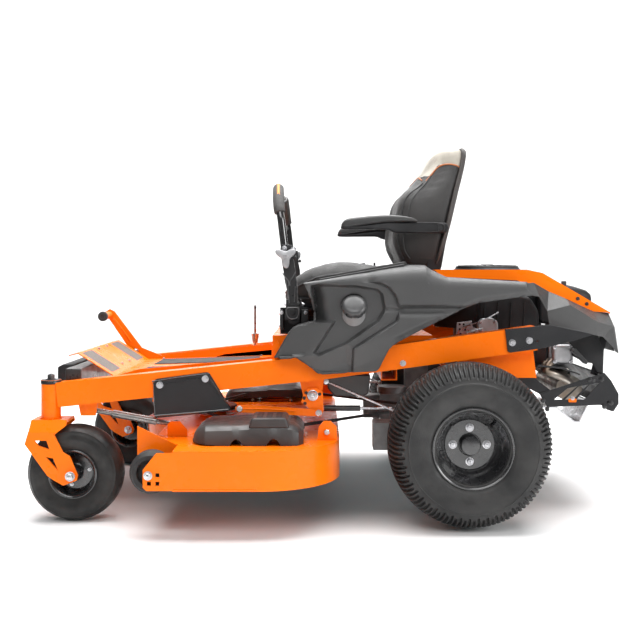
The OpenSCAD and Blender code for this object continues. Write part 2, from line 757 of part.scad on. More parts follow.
module scalp_wheel() translate([scalp_x, -615, scalp_z]) rotate([90, 0, 0]) difference() {
    union() {
        rotate_extrude() polygon(concat(
            [[40, -30]], arc([scalp_r - 14, 0], 14, -75, 75, 8), [[40, 30], [40, 4], [20, 4], [20, 28], [12, 28],
            [12, -28], [20, -28], [20, -4], [40, -4]]));
        rotate_extrude() polygon([[39, -30], [scalp_r - 11, -30], [scalp_r, -16], [scalp_r, 16],
            [scalp_r - 11, 30], [39, 30]]);
        cylinder(r = 13, h = 56, center = true);
    }
    cylinder(r = 8 + run_gap, h = 80, center = true);
}

module left_scalp_wheel() in_frame() color(rubber) scalp_wheel();

module right_scalp_wheel() in_frame() color(rubber) on_right() scalp_wheel();

// Discharge chute, hinged along the top of the right side opening and flared to the rear
module discharge_chute() in_frame() color("#202123") translate([0, deck_side + 6, chute_hinge_z]) {
    drop = 24;
    rear = chute_lugs[1] - 2;
    front = chute_lugs[0] + 10;
    rod([front - 1, 0, 0], [rear + 1, 0, 0], 5);
    rotate([-drop, 0, 0]) {
        translate([0, 0, -2]) linear_extrude(4)
            polygon([[front, 0], [rear, 0], [rear, 14], [rear + 70, 120], [rear + 70, 270], [front, 270]]);
        for (x = [front, rear + 67]) translate([x, 0, 0]) rotate([90, 0, 90]) linear_extrude(3)
            polygon([[112, -1], [268, -1], [268, -24], [112, -40]]);
        translate([front, 0, 0]) rotate([90, 0, 90]) linear_extrude(3)
            polygon([[14, -1], [114, -1], [114, -40], [20, -44]]);
        block([front, rear + 70], [266, 270], [-26, 0]);
    }
}

// ---------- Deck lift ----------

module lift_pedal() in_frame() color(paint) {
    difference() {
        across(322, 330) polygon([
            pedal_peg + [-18, 12], pedal_peg + [2, 24], pedal_peg + [20, 16],
            pedal_pin + [24, 14], pedal_pin + [150, -36], [-604, 410], [-622, 402],
            pedal_pin + [20, -14], pedal_pin + [-18, -14], pedal_pin + [-22, 4]]);
        bar_y(pedal_pin, caster_bolt_r + run_gap, 310, 340);
    }
    bar_y(pedal_peg, 15, 226, 324);
    bar_y(pedal_peg, 17.5, 214, 228);
}

module lift_shaft() in_frame() color(paint) {
    bar_y(crank_pin, 12, -438, 438);
    both_sides() difference() {
        across(-430, -422) polygon([
            [-92, 366], [-84, 392], [-70, 408], [-44, 410], [-24, 396], [-22, 340], [-30, 320], [-50, 324],
            [-66, 346]]);
        bar_y(crank_link, 6 + run_gap, -440, -410);
    }
}

// Flat bars that tie the pedal linkage to the lift shaft's cranks
module drag_links() in_frame() color(paint) both_sides() {
    across(-441, -435) polygon([[-296, 352], [-288, 358], [-240, 358], [-30, 344], [-26, 334], [-34, 324],
        [-60, 324], [-240, 334], [-288, 336], [-296, 342]]);
    bar_y([-283, 347], 7, -445.4, -441);
}

module front_links() in_frame() color(zinc) both_sides() difference() {
    union() {
        bar_y(link_pin, 15, -410, -396);
        rod([link_pin[0], -403, link_pin[1]], [link_end[0], -403, link_end[1]], 8);
        rod([link_pin[0] + 70, -403, link_pin[1] - 12.3], [link_end[0] - 60, -403, link_end[1] + 10.6], 12);
        bar_y(link_end, 14, -410, -396);
    }
    bar_y(link_pin, caster_bolt_r + run_gap, -420, -390);
    bar_y(link_end, 7, -420, -390);
}

// ---------- Seat ----------

module seat_plate() in_frame() color(black_steel) {
    block([-140, 310], [-205, 205], [600, 606]);
    both_sides() {
        block([-110, 300], [-182, -150], [606, 626]);
        block([-150, -130], [-200, -170], [584, 606]);
    }
    bar_y(seat_hinge, 9, -206, 206);
}

module seat_frame() in_frame() color(black_steel) {
    both_sides() {
        block([-100, 290], [-180, -152], [626.5, 645]);
        across(-235, -229) polygon([
            [180, 645], [318, 645], [372, 790], [398, 935], [352, 935], [326, 800], [270, 700], [180, 655]]);
        bar_y(arm_pin, 10, -250, -232);
    }
    block([-120, 318], [-232, 232], [645, 651]);
}

module seat_cushion() in_frame() color("#3d3e40") across(-seat_w / 2 + 14, seat_w / 2 - 14) polygon([
    [-150, 653], [-163, 700], [-146, 744], [-108, 778], [-50, 801], [30, 808], [120, 796], [170, 782],
    [300, 776], [306, 653]]);

module seat_back() in_frame() color("#3d3e40") across(-222, 222) polygon([
    [212, 800], [186, 838], [176, 880], [192, 962], [214, 998], [292, 1072], [336, 1140], [368, 1180],
    [446, 1184], [440, 1120], [404, 950], [366, 800]]);

module armrest() {
    across(-298, -278) difference() {
        polygon([
            [30, 896], [60, 892], [165, 884], [352, 896], [388, 904], [392, 934], [280, 934], [180, 922],
            [30, 922]]);
        translate(arm_pin) circle(r = 8);
    }
    across(-288 - armrest_w / 2, -288 + armrest_w / 2) polygon([
        [32, 918], [38, 940], [85, 954], [180, 962], [257, 958], [282, 946], [284, 935.5], [170, 935.5],
        [85, 922]]);
    difference() {
        bar_y(arm_pin, 18, -278, -242);
        bar_y(arm_pin, 10 + run_gap, -262, -240);
    }
}

module left_armrest() in_frame() color("#2c2d2f") armrest();

module right_armrest() in_frame() color("#2c2d2f") on_right() armrest();

// ---------- Lap bars ----------

// Fork that rocks on the bracket's pin and carries the swing-out hinge
module lap_pivot() {
    difference() {
        union() {
            bar_y(lever_pin, 22, -350, -328);
            block([-136, -100], [-350, -342], [627, 656]);
            for (x = [-142, -98]) block([x, x + 6], [-352, -327.5], [648, 684]);
            block([-142, -92], [-352, -328], [648, 654]);
        }
        bar_y(lever_pin, 11 + run_gap, -360, -320);
    }
    rod([-142, -lever_y, swing_z], [-92, -lever_y, swing_z], 6);
}

module left_lap_pivot() in_frame() color(black_steel) lap_pivot();

module right_lap_pivot() in_frame() color(black_steel) on_right() lap_pivot();

module lap_bar() {
    top = [-160, -lever_y, 955];
    difference() {
        union() {
            rod([-134, -lever_y, swing_z], [-99, -lever_y, swing_z], 12);
            across(-lever_y - 14, -lever_y + 14) polygon([
                [-133, 670], [-100, 670], [-114, 790], [-118, 858], [-160, 862], [-158, 820], [-146, 770]]);
        }
        rod([-145, -lever_y, swing_z], [-90, -lever_y, swing_z], 6 + run_gap);
    }
    rod([-140, -lever_y, 850], top, 12.5);
    rod(top, [-166, -lever_y + 12, 985], 12.5);
    translate(top) sphere(r = 13);
    rod([-166, -lever_y + 12, 985], [-172, -222, 1056], 12.5);
    translate([-166, -lever_y + 12, 985]) sphere(r = 18.6);
    rod([-166, -lever_y + 12, 985], [-172, -222, 1056], 18);
    translate([-172, -222, 1056]) sphere(r = 18.6);
    // Three-armed clamp knob
    translate([-142, -lever_y - 14, 822]) rotate([90, 0, 0]) {
        cylinder(r = 12, h = 16);
        for (a = [30, 150, 270]) rotate(a) block([0, 30], [-8, 8], [2, 12]);
        for (a = [30, 150, 270]) rotate(a) translate([30, 0, 2]) cylinder(r = 8, h = 10);
    }
    bolt_head([-141, 850], -lever_y - 14, 6, 4);
}

module left_lap_bar() in_frame() color(black_steel) lap_bar();

module right_lap_bar() in_frame() color(black_steel) on_right() lap_bar();

// ---------- Sub-parts ----------

frame_rails();
cross_members();
front_beam();
foot_platform();
foot_grips();
side_steps();
seat_box();
left_fender();
right_fender();
rear_cover();
rear_trim();
side_plates();
muffler_guard();
hitch_plate();
engine_block();
blower_housing();
air_cleaner();
muffler();
transaxles();
frame_bolts();
lever_brackets();
left_caster_fork();
right_caster_fork();
left_caster_rim();
right_caster_rim();
left_caster_tyre();
right_caster_tyre();
left_drive_rim();
right_drive_rim();
left_drive_tyre();
right_drive_tyre();
deck_shell();
belt_covers();
deck_belt();
left_blade();
centre_blade();
right_blade();
left_scalp_wheel();
right_scalp_wheel();
discharge_chute();
pto_clutch();
lift_pedal();
lift_shaft();
drag_links();
front_links();
seat_plate();
seat_frame();
seat_cushion();
seat_back();
left_armrest();
right_armrest();
left_lap_pivot();
right_lap_pivot();
left_lap_bar();
right_lap_bar();
fuel_cap();
ignition_key();
pto_knob();
throttle_lever();
brake_lever();
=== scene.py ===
"""Looks of the zero turn mower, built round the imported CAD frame. Lengths are in metres."""

import json
import math

import bmesh
import bpy
import numpy as np
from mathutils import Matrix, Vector
from mathutils.bvhtree import BVHTree
from mathutils.geometry import delaunay_2d_cdt


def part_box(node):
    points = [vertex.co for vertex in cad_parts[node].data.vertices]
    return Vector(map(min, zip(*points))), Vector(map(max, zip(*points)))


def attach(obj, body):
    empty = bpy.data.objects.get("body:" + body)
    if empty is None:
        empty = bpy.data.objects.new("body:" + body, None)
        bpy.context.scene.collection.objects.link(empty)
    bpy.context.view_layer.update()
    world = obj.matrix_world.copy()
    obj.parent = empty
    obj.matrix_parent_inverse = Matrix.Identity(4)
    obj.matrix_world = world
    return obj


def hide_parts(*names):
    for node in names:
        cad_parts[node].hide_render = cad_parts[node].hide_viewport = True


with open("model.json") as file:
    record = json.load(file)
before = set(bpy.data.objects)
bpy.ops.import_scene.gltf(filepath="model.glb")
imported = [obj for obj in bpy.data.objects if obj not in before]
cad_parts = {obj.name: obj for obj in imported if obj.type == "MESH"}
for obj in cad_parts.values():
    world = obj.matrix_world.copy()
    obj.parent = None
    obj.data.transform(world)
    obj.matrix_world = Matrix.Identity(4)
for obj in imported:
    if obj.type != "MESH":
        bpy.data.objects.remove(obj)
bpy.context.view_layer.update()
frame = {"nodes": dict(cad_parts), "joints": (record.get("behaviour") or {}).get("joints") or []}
NODES = frame["nodes"]
MM = 0.001
TAU = 2 * math.pi
# Corners closer than this, in metres, become one
WELD = 2e-5
# Wall of the thin mouldings, in millimetres
SHEET = 3.5


def middle(node):
    low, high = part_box(node)
    return (low + high) / 2


# The machine's own centre plane lies off the frame's, because the chute reaches out on the right
MID_Y = (middle("left_drive_tyre").y + middle("right_drive_tyre").y) / 2

# ---------------------------------------------------------------- camera, light and floor


def make_camera():
    """A 51 mm view square on to the left side, level with the top of the fenders."""
    data = bpy.data.cameras.new("camera")
    data.lens = 51.36
    data.sensor_width = 36
    data.shift_y = -45 / 640
    data.clip_end = 60
    cam = bpy.data.objects.new("camera", data)
    cam.location = (-0.033, MID_Y - 3.277, 0.7625)
    cam.rotation_euler = (math.radians(90), 0, 0)
    bpy.context.collection.objects.link(cam)
    bpy.context.scene.camera = cam


def area_light(name, at, aim, size, power):
    data = bpy.data.lights.new(name, "AREA")
    data.shape = "RECTANGLE"
    data.size, data.size_y = size
    data.energy = power
    lamp = bpy.data.objects.new(name, data)
    lamp.location = at
    lamp.rotation_euler = (Vector(aim) - Vector(at)).to_track_quat("-Z", "Y").to_euler()
    bpy.context.collection.objects.link(lamp)


def make_light():
    world = bpy.data.worlds.new("studio")
    world.use_nodes = True
    world.node_tree.nodes["Background"].inputs["Color"].default_value = (1, 1, 1, 1)
    world.node_tree.nodes["Background"].inputs["Strength"].default_value = 0.14
    bpy.context.scene.world = world
    area_light("key", (-0.15, MID_Y - 3.6, 3.0), (0.1, MID_Y, 0.5), (3.2, 1.8), 70)
    area_light("top", (0.2, MID_Y, 3.6), (0.2, MID_Y, 0.5), (4.2, 3.0), 290)
    area_light("fill", (3.4, MID_Y - 2.6, 1.6), (0.3, MID_Y, 0.5), (1.6, 1.6), 72)
    area_light("back", (0.0, MID_Y + 3.0, 3.2), (0, MID_Y, 0.5), (3.6, 1.6), 60)
    area_light("backdrop", (0.0, MID_Y + 2.6, 5.2), (0, MID_Y + 6.5, 1.6), (9.0, 1.5), 420)
    view = bpy.context.scene.view_settings
    view.view_transform = "Standard"
    view.look = "None"


def feed(tree, node, inputs):
    """Sets a node's inputs, each to a value or to another node's output."""
    for key, value in inputs.items():
        if isinstance(value, bpy.types.NodeSocket):
            tree.links.new(value, node.inputs[key])
        else:
            node.inputs[key].default_value = value
    return node


def make_floor():
    """A pale floor that curves up into a backdrop, with a painted shadow under the machine."""
    depth, height, radius, width = 7.0, 6.0, 2.0, 12.0
    steps = 16
    line = [(-8.0, 0.0)] + [
        (depth - radius + radius * math.sin(a), radius - radius * math.cos(a))
        for a in [math.pi / 2 * i / steps for i in range(steps + 1)]
    ] + [(depth, height)]
    verts = [(x, MID_Y + y, z) for x in (-width, width) for y, z in line]
    n = len(line)
    faces = [(i, i + 1, n + i + 1, n + i) for i in range(n - 1)]
    mesh = bpy.data.meshes.new("floor")
    mesh.from_pydata(verts, [], faces)
    floor = bpy.data.objects.new("floor", mesh)
    bpy.context.collection.objects.link(floor)
    for p in mesh.polygons:
        p.use_smooth = True
    m = bpy.data.materials.new("floor")
    m.use_nodes = True
    tree = m.node_tree
    shader = tree.nodes["Principled BSDF"]
    # The cyan emission colour is painted light, used only under the machine
    feed(tree, shader, {"Roughness": 0.9, "Emission Color": (0.4, 0.9, 1.0, 1)})
    # Painted shadow: the floor is a soft grey under the machine and pale everywhere else; under the machine it also
    # glows faintly cyan, painted light that cancels the orange bounce
    shadow_half_long, shadow_half_wide = 1.22, 0.88
    place = tree.nodes.new("ShaderNodeTexCoord").outputs["Object"]
    scaled = feed(tree, tree.nodes.new("ShaderNodeMapping"), {
        "Location": (0.02, -(MID_Y + 0.1) / shadow_half_wide, 0), "Scale": (1 / shadow_half_long, 1 / shadow_half_wide, 0),
        "Vector": place,
    })
    away = tree.nodes.new("ShaderNodeVectorMath")
    away.operation = "LENGTH"
    feed(tree, away, {0: scaled.outputs["Vector"]})
    # The darker base colour under the machine is the painted shadow, and the emission there is painted light
    for socket, under, outside in (("Base Color", 0.2, 0.93), ("Emission Strength", 0.05, 0.0)):
        share = tree.nodes.new("ShaderNodeMapRange")
        share.interpolation_type = "SMOOTHERSTEP"
        feed(tree, share, {
            "From Min": 0.3, "From Max": 1.0, "To Min": under, "To Max": outside, "Value": away.outputs["Value"],
        })
        feed(tree, shader, {socket: share.outputs["Result"]})
    mesh.materials.append(m)


# ---------------------------------------------------------------- materials


class Surface:
    """A procedural material: a Principled shader fed by noise in object space."""

    def __init__(self, name, colour, roughness, metallic=0.0, coat=0.0, specular=0.5, sheen=0.0):
        self.material = bpy.data.materials.new(name)
        self.material.use_nodes = True
        self.tree = self.material.node_tree
        self.shader = self.tree.nodes["Principled BSDF"]
        self.colour, self.roughness, self.height = (*colour, 1), roughness, None
        feed(self.tree, self.shader, {
            "Metallic": metallic, "Coat Weight": coat, "Coat Roughness": 0.08, "Specular IOR Level": specular,
            "Sheen Weight": sheen, "Base Color": self.colour, "Roughness": roughness,
        })
        self.place = self.tree.nodes.new("ShaderNodeTexCoord").outputs["Object"]

    def node(self, kind, inputs):
        return feed(self.tree, self.tree.nodes.new(kind), inputs)

    def noise(self, scale, detail, stretch=None):
        place = self.place
        if stretch is not None:
            place = self.node("ShaderNodeMapping", {"Scale": stretch, "Vector": place}).outputs["Vector"]
        values = {"Scale": scale, "Detail": detail, "Roughness": 0.5, "Vector": place}
        return self.node("ShaderNodeTexNoise", values).outputs["Fac"]

    def ramp(self, value, low, high, at=(0.35, 0.65)):
        """Maps a value between at[0] and at[1] to the range low to high."""
        values = {"From Min": at[0], "From Max": at[1], "To Min": low, "To Max": high, "Value": value}
        return self.node("ShaderNodeMapRange", values).outputs["Result"]

    def mottle(self, scale, other, share=1.0):
        """Colour wanders from the base towards another colour."""
        mix = self.tree.nodes.new("ShaderNodeMix")
        mix.data_type = "RGBA"
        factor = self.ramp(self.noise(scale, 4.0), 0.0, share)
        feed(self.tree, mix, {6: self.colour, 7: (*other, 1), 0: factor})
        feed(self.tree, self.shader, {"Base Color": mix.outputs[2]})
        return self

    def rough_noise(self, scale, spread):
        factor = self.ramp(self.noise(scale, 5.0), self.roughness - spread, self.roughness + spread)
        feed(self.tree, self.shader, {"Roughness": factor})

    def bump(self, value, distance, strength):
        relief = self.node("ShaderNodeBump", {"Distance": distance, "Strength": strength, "Height": value})
        if self.height is not None:
            feed(self.tree, relief, {"Normal": self.height})
        self.height = relief.outputs["Normal"]
        feed(self.tree, self.shader, {"Normal": self.height})

    def grain(self, scale, distance, strength, detail=2.0, stretch=None):
        self.bump(self.noise(scale, detail, stretch), distance, strength)

    def pebble(self, scale, distance, strength):
        """Fine leather-like cells, as moulded into plastic and vinyl."""
        cells = self.node("ShaderNodeTexVoronoi", {"Scale": scale, "Vector": self.place})
        cells.feature = "DISTANCE_TO_EDGE"
        self.bump(self.ramp(cells.outputs["Distance"], 0.0, 1.0, at=(0.0, 0.14)), distance, strength)


ORANGE = (0.93, 0.172, 0.0025)
ORANGE_DEEP = (0.88, 0.145, 0.002)


# Name, colour, roughness, other inputs, mottle (scale, other colour, share), roughness noise
# (scale, spread) and the relief: grain or pebble (scale, depth in metres, strength)
SURFACE_ROWS = (
    ("orange_paint", ORANGE, 0.3, {"coat": 0.08, "specular": 0.13}, (3.0, ORANGE_DEEP, 0.5), (18, 0.05),
     ("grain", 420, 0.00005, 0.25)),
    ("black_paint", (0.014, 0.014, 0.0155), 0.42, {"specular": 0.3}, (6, (0.021, 0.021, 0.0225), 0.8), (30, 0.07),
     ("grain", 900, 0.00015, 0.45)),
    ("rim_paint", (0.013, 0.013, 0.014), 0.26, {"coat": 0.6, "specular": 0.7}, (8, (0.02, 0.02, 0.021), 0.8),
     (25, 0.05), ("grain", 600, 0.00008, 0.3)),
    ("grey_plastic", (0.036, 0.036, 0.0365), 0.4, {"specular": 0.6}, (5, (0.046, 0.0455, 0.0455), 0.7), (60, 0.06),
     ("pebble", 900, 0.00018, 0.6)),
    ("cap_plastic", (0.045, 0.045, 0.046), 0.34, {"specular": 0.6}, (12, (0.06, 0.06, 0.06), 0.7), (60, 0.05),
     ("grain", 900, 0.0001, 0.4)),
    ("neck_plastic", (0.2, 0.2, 0.2), 0.5, {}, (12, (0.25, 0.25, 0.25), 0.6), None, ("grain", 800, 0.0002, 0.4)),
    ("black_plastic", (0.0145, 0.0145, 0.0155), 0.5, {"specular": 0.28}, (10, (0.03, 0.03, 0.032), 0.8), (50, 0.07),
     ("grain", 1200, 0.0002, 0.5)),
    ("cover_plastic", (0.032, 0.031, 0.031), 0.45, {}, (8, (0.05, 0.046, 0.044), 0.8), (40, 0.08),
     ("grain", 1000, 0.0002, 0.5)),
    ("yellow_plastic", (0.8, 0.5, 0.02), 0.35, {}, (30, (0.72, 0.43, 0.015), 0.7), None,
     ("grain", 500, 0.0001, 0.3)),
    ("black_rubber", (0.02, 0.02, 0.021), 0.72, {}, (20, (0.04, 0.038, 0.036), 0.7), (60, 0.08),
     ("grain", 700, 0.0003, 0.6)),
    ("grip_tape", (0.03, 0.03, 0.03), 0.85, {}, (400, (0.075, 0.07, 0.066), 0.9), None,
     ("grain", 1500, 0.0006, 1.0)),
    ("tyre_rubber", (0.0115, 0.0115, 0.0118), 0.5, {"specular": 0.4}, (11, (0.034, 0.033, 0.032), 0.75), (26, 0.12),
     ("grain", 260, 0.0006, 0.6)),
    ("caster_rubber", (0.0078, 0.0078, 0.0078), 0.48, {"specular": 0.32}, (14, (0.03, 0.0285, 0.027), 0.9),
     (30, 0.14), ("grain", 120, 0.0012, 0.5), ("grain", 500, 0.0004, 0.5)),
    ("zinc_steel", (0.62, 0.62, 0.64), 0.32, {"metallic": 1.0}, (40, (0.46, 0.46, 0.48), 0.8), (90, 0.1),
     ("grain", 700, 0.0001, 0.4)),
    ("blade_steel", (0.3, 0.3, 0.32), 0.42, {"metallic": 1.0}, (20, (0.16, 0.15, 0.14), 0.8), (60, 0.12),
     ("grain", 90, 0.0003, 0.4, 2.0, (1, 12, 12))),
    ("cast_aluminium", (0.5, 0.5, 0.51), 0.5, {"metallic": 0.9}, (25, (0.36, 0.36, 0.37), 0.8), (80, 0.1),
     ("grain", 420, 0.0006, 0.7)),
    ("engine_black", (0.03, 0.03, 0.032), 0.45, {}, (20, (0.055, 0.055, 0.056), 0.8), (70, 0.1),
     ("grain", 420, 0.0005, 0.6)),
    ("heat_steel", (0.42, 0.39, 0.35), 0.42, {"metallic": 1.0}, (14, (0.2, 0.15, 0.11), 0.9), (50, 0.12),
     ("grain", 300, 0.0003, 0.5)),
    ("arm_vinyl", (0.027, 0.027, 0.0275), 0.42, {}, (9, (0.037, 0.036, 0.035), 0.7), (50, 0.06),
     ("pebble", 700, 0.0003, 0.5)),
    ("cap_vinyl", (0.3, 0.275, 0.23), 0.55, {"sheen": 0.1}, (9, (0.62, 0.57, 0.49), 0.8), (40, 0.06),
     ("pebble", 520, 0.0004, 0.6)),
    ("piping_dark", (0.02, 0.02, 0.021), 0.5, {}, (60, (0.035, 0.034, 0.034), 0.8), None,
     ("grain", 900, 0.0002, 0.5)),
    ("piping_orange", (0.42, 0.13, 0.035), 0.5, {}, (60, (0.3, 0.09, 0.03), 0.8), None,
     ("grain", 900, 0.0002, 0.5)),
    ("thread", (0.11, 0.1, 0.095), 0.7, {}, (300, (0.17, 0.16, 0.15), 0.9), None, ("grain", 2400, 0.0002, 0.6)),
    ("shell_plastic", (0.035, 0.03, 0.028), 0.42, {}, (8, (0.05, 0.042, 0.038), 0.8), (40, 0.06),
     ("pebble", 1000, 0.0002, 0.5)),
    # A darker copy of the zinc, for the front links
    ("dull_zinc", (0.26, 0.25, 0.24), 0.3, {"metallic": 0.9}, (40, (0.17, 0.165, 0.16), 0.8), (90, 0.06),
     ("grain", 700, 0.00005, 0.3)),
    ("cast_dark", (0.12, 0.12, 0.12), 0.5, {"metallic": 0.5}, (30, (0.2, 0.2, 0.2), 0.8), (60, 0.08),
     ("grain", 260, 0.0006, 0.6)),
    ("dark_steel", (0.06, 0.06, 0.062), 0.36, {"metallic": 0.7}, (50, (0.1, 0.1, 0.1), 0.8), None,
     ("grain", 700, 0.0001, 0.4)),
    ("toe_tape", (0.1, 0.085, 0.075), 0.7, {}, (200, (0.15, 0.13, 0.115), 0.9), (90, 0.06),
     ("grain", 1300, 0.0006, 0.8)),
    ("satin_black", (0.014, 0.014, 0.015), 0.34, {"coat": 0.25}, (12, (0.026, 0.026, 0.027), 0.8), (40, 0.07),
     ("grain", 900, 0.0001, 0.4)),
    ("gloss_black", (0.012, 0.012, 0.013), 0.13, {"coat": 0.9, "specular": 0.8}, (15, (0.02, 0.02, 0.02), 0.8),
     None, ("grain", 500, 0.00005, 0.3)),
    # Lighter metal laid along edges as a painted highlight
    ("worn_edge", (0.2, 0.2, 0.205), 0.35, {"metallic": 0.6}, (70, (0.1, 0.1, 0.1), 0.9), None,
     ("grain", 600, 0.0002, 0.5)),
    ("grip_foam", (0.045, 0.043, 0.042), 0.72, {}, (120, (0.065, 0.062, 0.06), 0.8), (90, 0.06),
     ("grain", 900, 0.0005, 0.7)),
    ("orange_rubber", (0.8, 0.25, 0.04), 0.55, {}, (60, (0.7, 0.2, 0.03), 0.8), None, ("grain", 800, 0.0002, 0.5)),
    ("silver_plastic", (0.38, 0.38, 0.39), 0.36, {"metallic": 0.3}, (40, (0.3, 0.3, 0.31), 0.8), None,
     ("grain", 700, 0.0001, 0.4)),
    ("seat_vinyl", (0.0215, 0.021, 0.021), 0.46, {"specular": 0.38}, (7, (0.036, 0.034, 0.033), 0.8), (40, 0.06),
     ("pebble", 520, 0.0004, 0.55)),
)
# Slots of the surfaces that are not slots themselves
SLOT_OF = {
    "rim_paint": "black_paint", "satin_black": "black_paint", "gloss_black": "black_paint",
    "worn_edge": "black_paint", "dark_steel": "black_paint", "engine_black": "cast_aluminium",
    "silver_plastic": "zinc_steel", "neck_plastic": "grey_plastic", "cap_plastic": "black_plastic",
    "shell_plastic": "black_plastic", "cover_plastic": "black_plastic", "arm_vinyl": "black_plastic",
    "grip_foam": "black_rubber", "orange_rubber": "black_rubber", "toe_tape": "black_rubber",
    "caster_rubber": "tyre_rubber", "piping_dark": "seat_vinyl", "piping_orange": "seat_vinyl",
    "thread": "seat_vinyl",
}


def make_surfaces():
    made = {}
    for name, colour, roughness, inputs, mottle, spread, *reliefs in SURFACE_ROWS:
        surface = Surface(name, colour, roughness, **inputs).mottle(*mottle)
        if spread:
            surface.rough_noise(*spread)
        for kind, *values in reliefs:
            (surface.pebble if kind == "pebble" else surface.grain)(*values)
        made[name] = surface
    return made


def weld_group():
    """Node group that welds a CAD node's facets and shades its round faces smooth."""
    group = bpy.data.node_groups.new("weld_and_shade", "GeometryNodeTree")
    for way in ("INPUT", "OUTPUT"):
        group.interface.new_socket("Geometry", in_out=way, socket_type="NodeSocketGeometry")
    new, link = group.nodes.new, group.links.new
    start, end = new("NodeGroupInput"), new("NodeGroupOutput")
    merge = new("GeometryNodeMergeByDistance")
    merge.inputs["Distance"].default_value = WELD
    faces = new("GeometryNodeSetShadeSmooth")
    edges = new("GeometryNodeSetShadeSmooth")
    edges.domain = "EDGE"
    edges.inputs["Shade Smooth"].default_value = False
    angle = new("GeometryNodeInputMeshEdgeAngle")
    sharp = new("FunctionNodeCompare")
    sharp.data_type = "FLOAT"
    sharp.operation = "GREATER_THAN"
    sharp.inputs[1].default_value = math.radians(28)
    link(start.outputs[0], merge.inputs["Geometry"])
    link(merge.outputs["Geometry"], faces.inputs["Geometry"])
    link(faces.outputs["Geometry"], edges.inputs["Geometry"])
    link(angle.outputs["Unsigned Angle"], sharp.inputs[0])
    link(sharp.outputs["Result"], edges.inputs["Selection"])
    link(edges.outputs["Geometry"], end.inputs[0])
    return group


def dress(node, surface, group):
    """Gives a CAD node its material, smooth shading and rounded edges."""
    obj = NODES[node]
    obj.data.materials.clear()
    obj.data.materials.append(surface.material)
    obj.modifiers.new("weld", "NODES").node_group = group
    soften(obj, 1.2, 2, 32)


SURFACE_OF = {
    "orange_paint": [
        "frame_rails", "cross_members", "foot_platform", "seat_box", "rear_trim", "left_caster_fork",
        "right_caster_fork", "deck_shell", "lift_pedal", "lift_shaft", "drag_links",
    ],
    "black_paint": [
        "front_beam", "side_steps", "side_plates", "muffler_guard", "lever_brackets", "pto_clutch",
        "seat_plate", "seat_frame", "left_lap_pivot", "right_lap_pivot", "left_lap_bar", "right_lap_bar",
    ],
    "rim_paint": ["left_caster_rim", "right_caster_rim", "left_drive_rim", "right_drive_rim"],
    "grey_plastic": ["left_fender", "right_fender", "rear_cover"],
    "black_plastic": [
        "blower_housing", "air_cleaner", "fuel_cap", "ignition_key", "throttle_lever", "left_armrest",
        "right_armrest", "discharge_chute",
    ],
    "cover_plastic": ["belt_covers"],
    "yellow_plastic": ["pto_knob"],
    "black_rubber": ["deck_belt", "left_scalp_wheel", "right_scalp_wheel"],
    "grip_tape": ["foot_grips"],
    "tyre_rubber": ["left_caster_tyre", "right_caster_tyre", "left_drive_tyre", "right_drive_tyre"],
    "zinc_steel": ["frame_bolts", "hitch_plate", "brake_lever"],
    "dull_zinc": ["front_links"],
    "blade_steel": ["left_blade", "centre_blade", "right_blade"],
    "cast_dark": ["transaxles"],
    "engine_black": ["engine_block"],
    "heat_steel": ["muffler"],
    "seat_vinyl": ["seat_cushion", "seat_back"],
}

# ---------------------------------------------------------------- mesh helpers


def mesh_object(name, verts, faces, body, surface, smooth=38, slot=None):
    """A mesh piece in millimetres of the machine's own frame, on its body and with its surface."""
    mesh = bpy.data.meshes.new(name)
    mesh.from_pydata([(x * MM, y * MM + MID_Y, z * MM) for x, y, z in verts], [], faces)
    obj = bpy.data.objects.new(name, mesh)
    bpy.context.collection.objects.link(obj)
    bm = bmesh.new()
    bm.from_mesh(mesh)
    bmesh.ops.remove_doubles(bm, verts=bm.verts, dist=WELD)
    bmesh.ops.recalc_face_normals(bm, faces=bm.faces)
    bm.to_mesh(mesh)
    bm.free()
    mesh.materials.append(SURFACES[surface].material)
    for p in mesh.polygons:
        p.use_smooth = True
    mesh.set_sharp_from_angle(angle=math.radians(smooth))
    slot = slot or SLOT_OF.get(surface, surface)
    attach(obj, body)
    return obj


def soften(obj, width, segments=2, angle=30):
    bevel = obj.modifiers.new("edges", "BEVEL")
    bevel.width = width * MM
    bevel.segments = segments
    bevel.limit_method = "ANGLE"
    bevel.angle_limit = math.radians(angle)
    bevel.harden_normals = True
    return obj


def subdivide(obj, levels=1):
    sub = obj.modifiers.new("subdivision", "SUBSURF")
    sub.levels = sub.render_levels = levels
    return obj


def sheet(obj, thickness=SHEET, offset=-1):
    """Gives an open skin its thickness."""
    solid = obj.modifiers.new("sheet", "SOLIDIFY")
    solid.thickness = thickness * MM
    solid.offset = offset
    return obj


def signed_power(v, p):
    """A power that keeps the sign of v."""
    return math.copysign(abs(v) ** p, v)


def circle(n):
    """Cosine and sine of n even steps round a circle."""
    return [(math.cos(TAU * i / n), math.sin(TAU * i / n)) for i in range(n)]


def ring_faces(rings, around, closed=True, caps=True):
    """Faces between successive rings of the same count, with the two ends closed."""
    faces = []
    span = around if closed else around - 1
    for i in range(rings - 1):
        for j in range(span):
            k = (j + 1) % around
            faces.append((i * around + j, i * around + k, (i + 1) * around + k, (i + 1) * around + j))
    if caps and closed:
        faces.append(tuple(range(around)))
        faces.append(tuple((rings - 1) * around + j for j in reversed(range(around))))
    return faces


def loft(name, rings, body, surface, smooth=38, caps=True, closed=True, slot=None):
    verts = [p for ring in rings for p in ring]
    faces = ring_faces(len(rings), len(rings[0]), closed, caps)
    return mesh_object(name, verts, faces, body, surface, smooth, slot)


def turned(name, at, axis, profile, body, surface, n=64, smooth=38, slot=None):
    """A turned piece: profile of (radius, height along axis) from the point at."""
    a = Vector(axis).normalized()
    u = a.orthogonal().normalized()
    v = a.cross(u)
    at = Vector(at)
    rings = [[at + a * h + (u * c + v * s) * max(r, 0.01) for c, s in circle(n)] for r, h in profile]
    return loft(name, rings, body, surface, smooth, slot=slot)


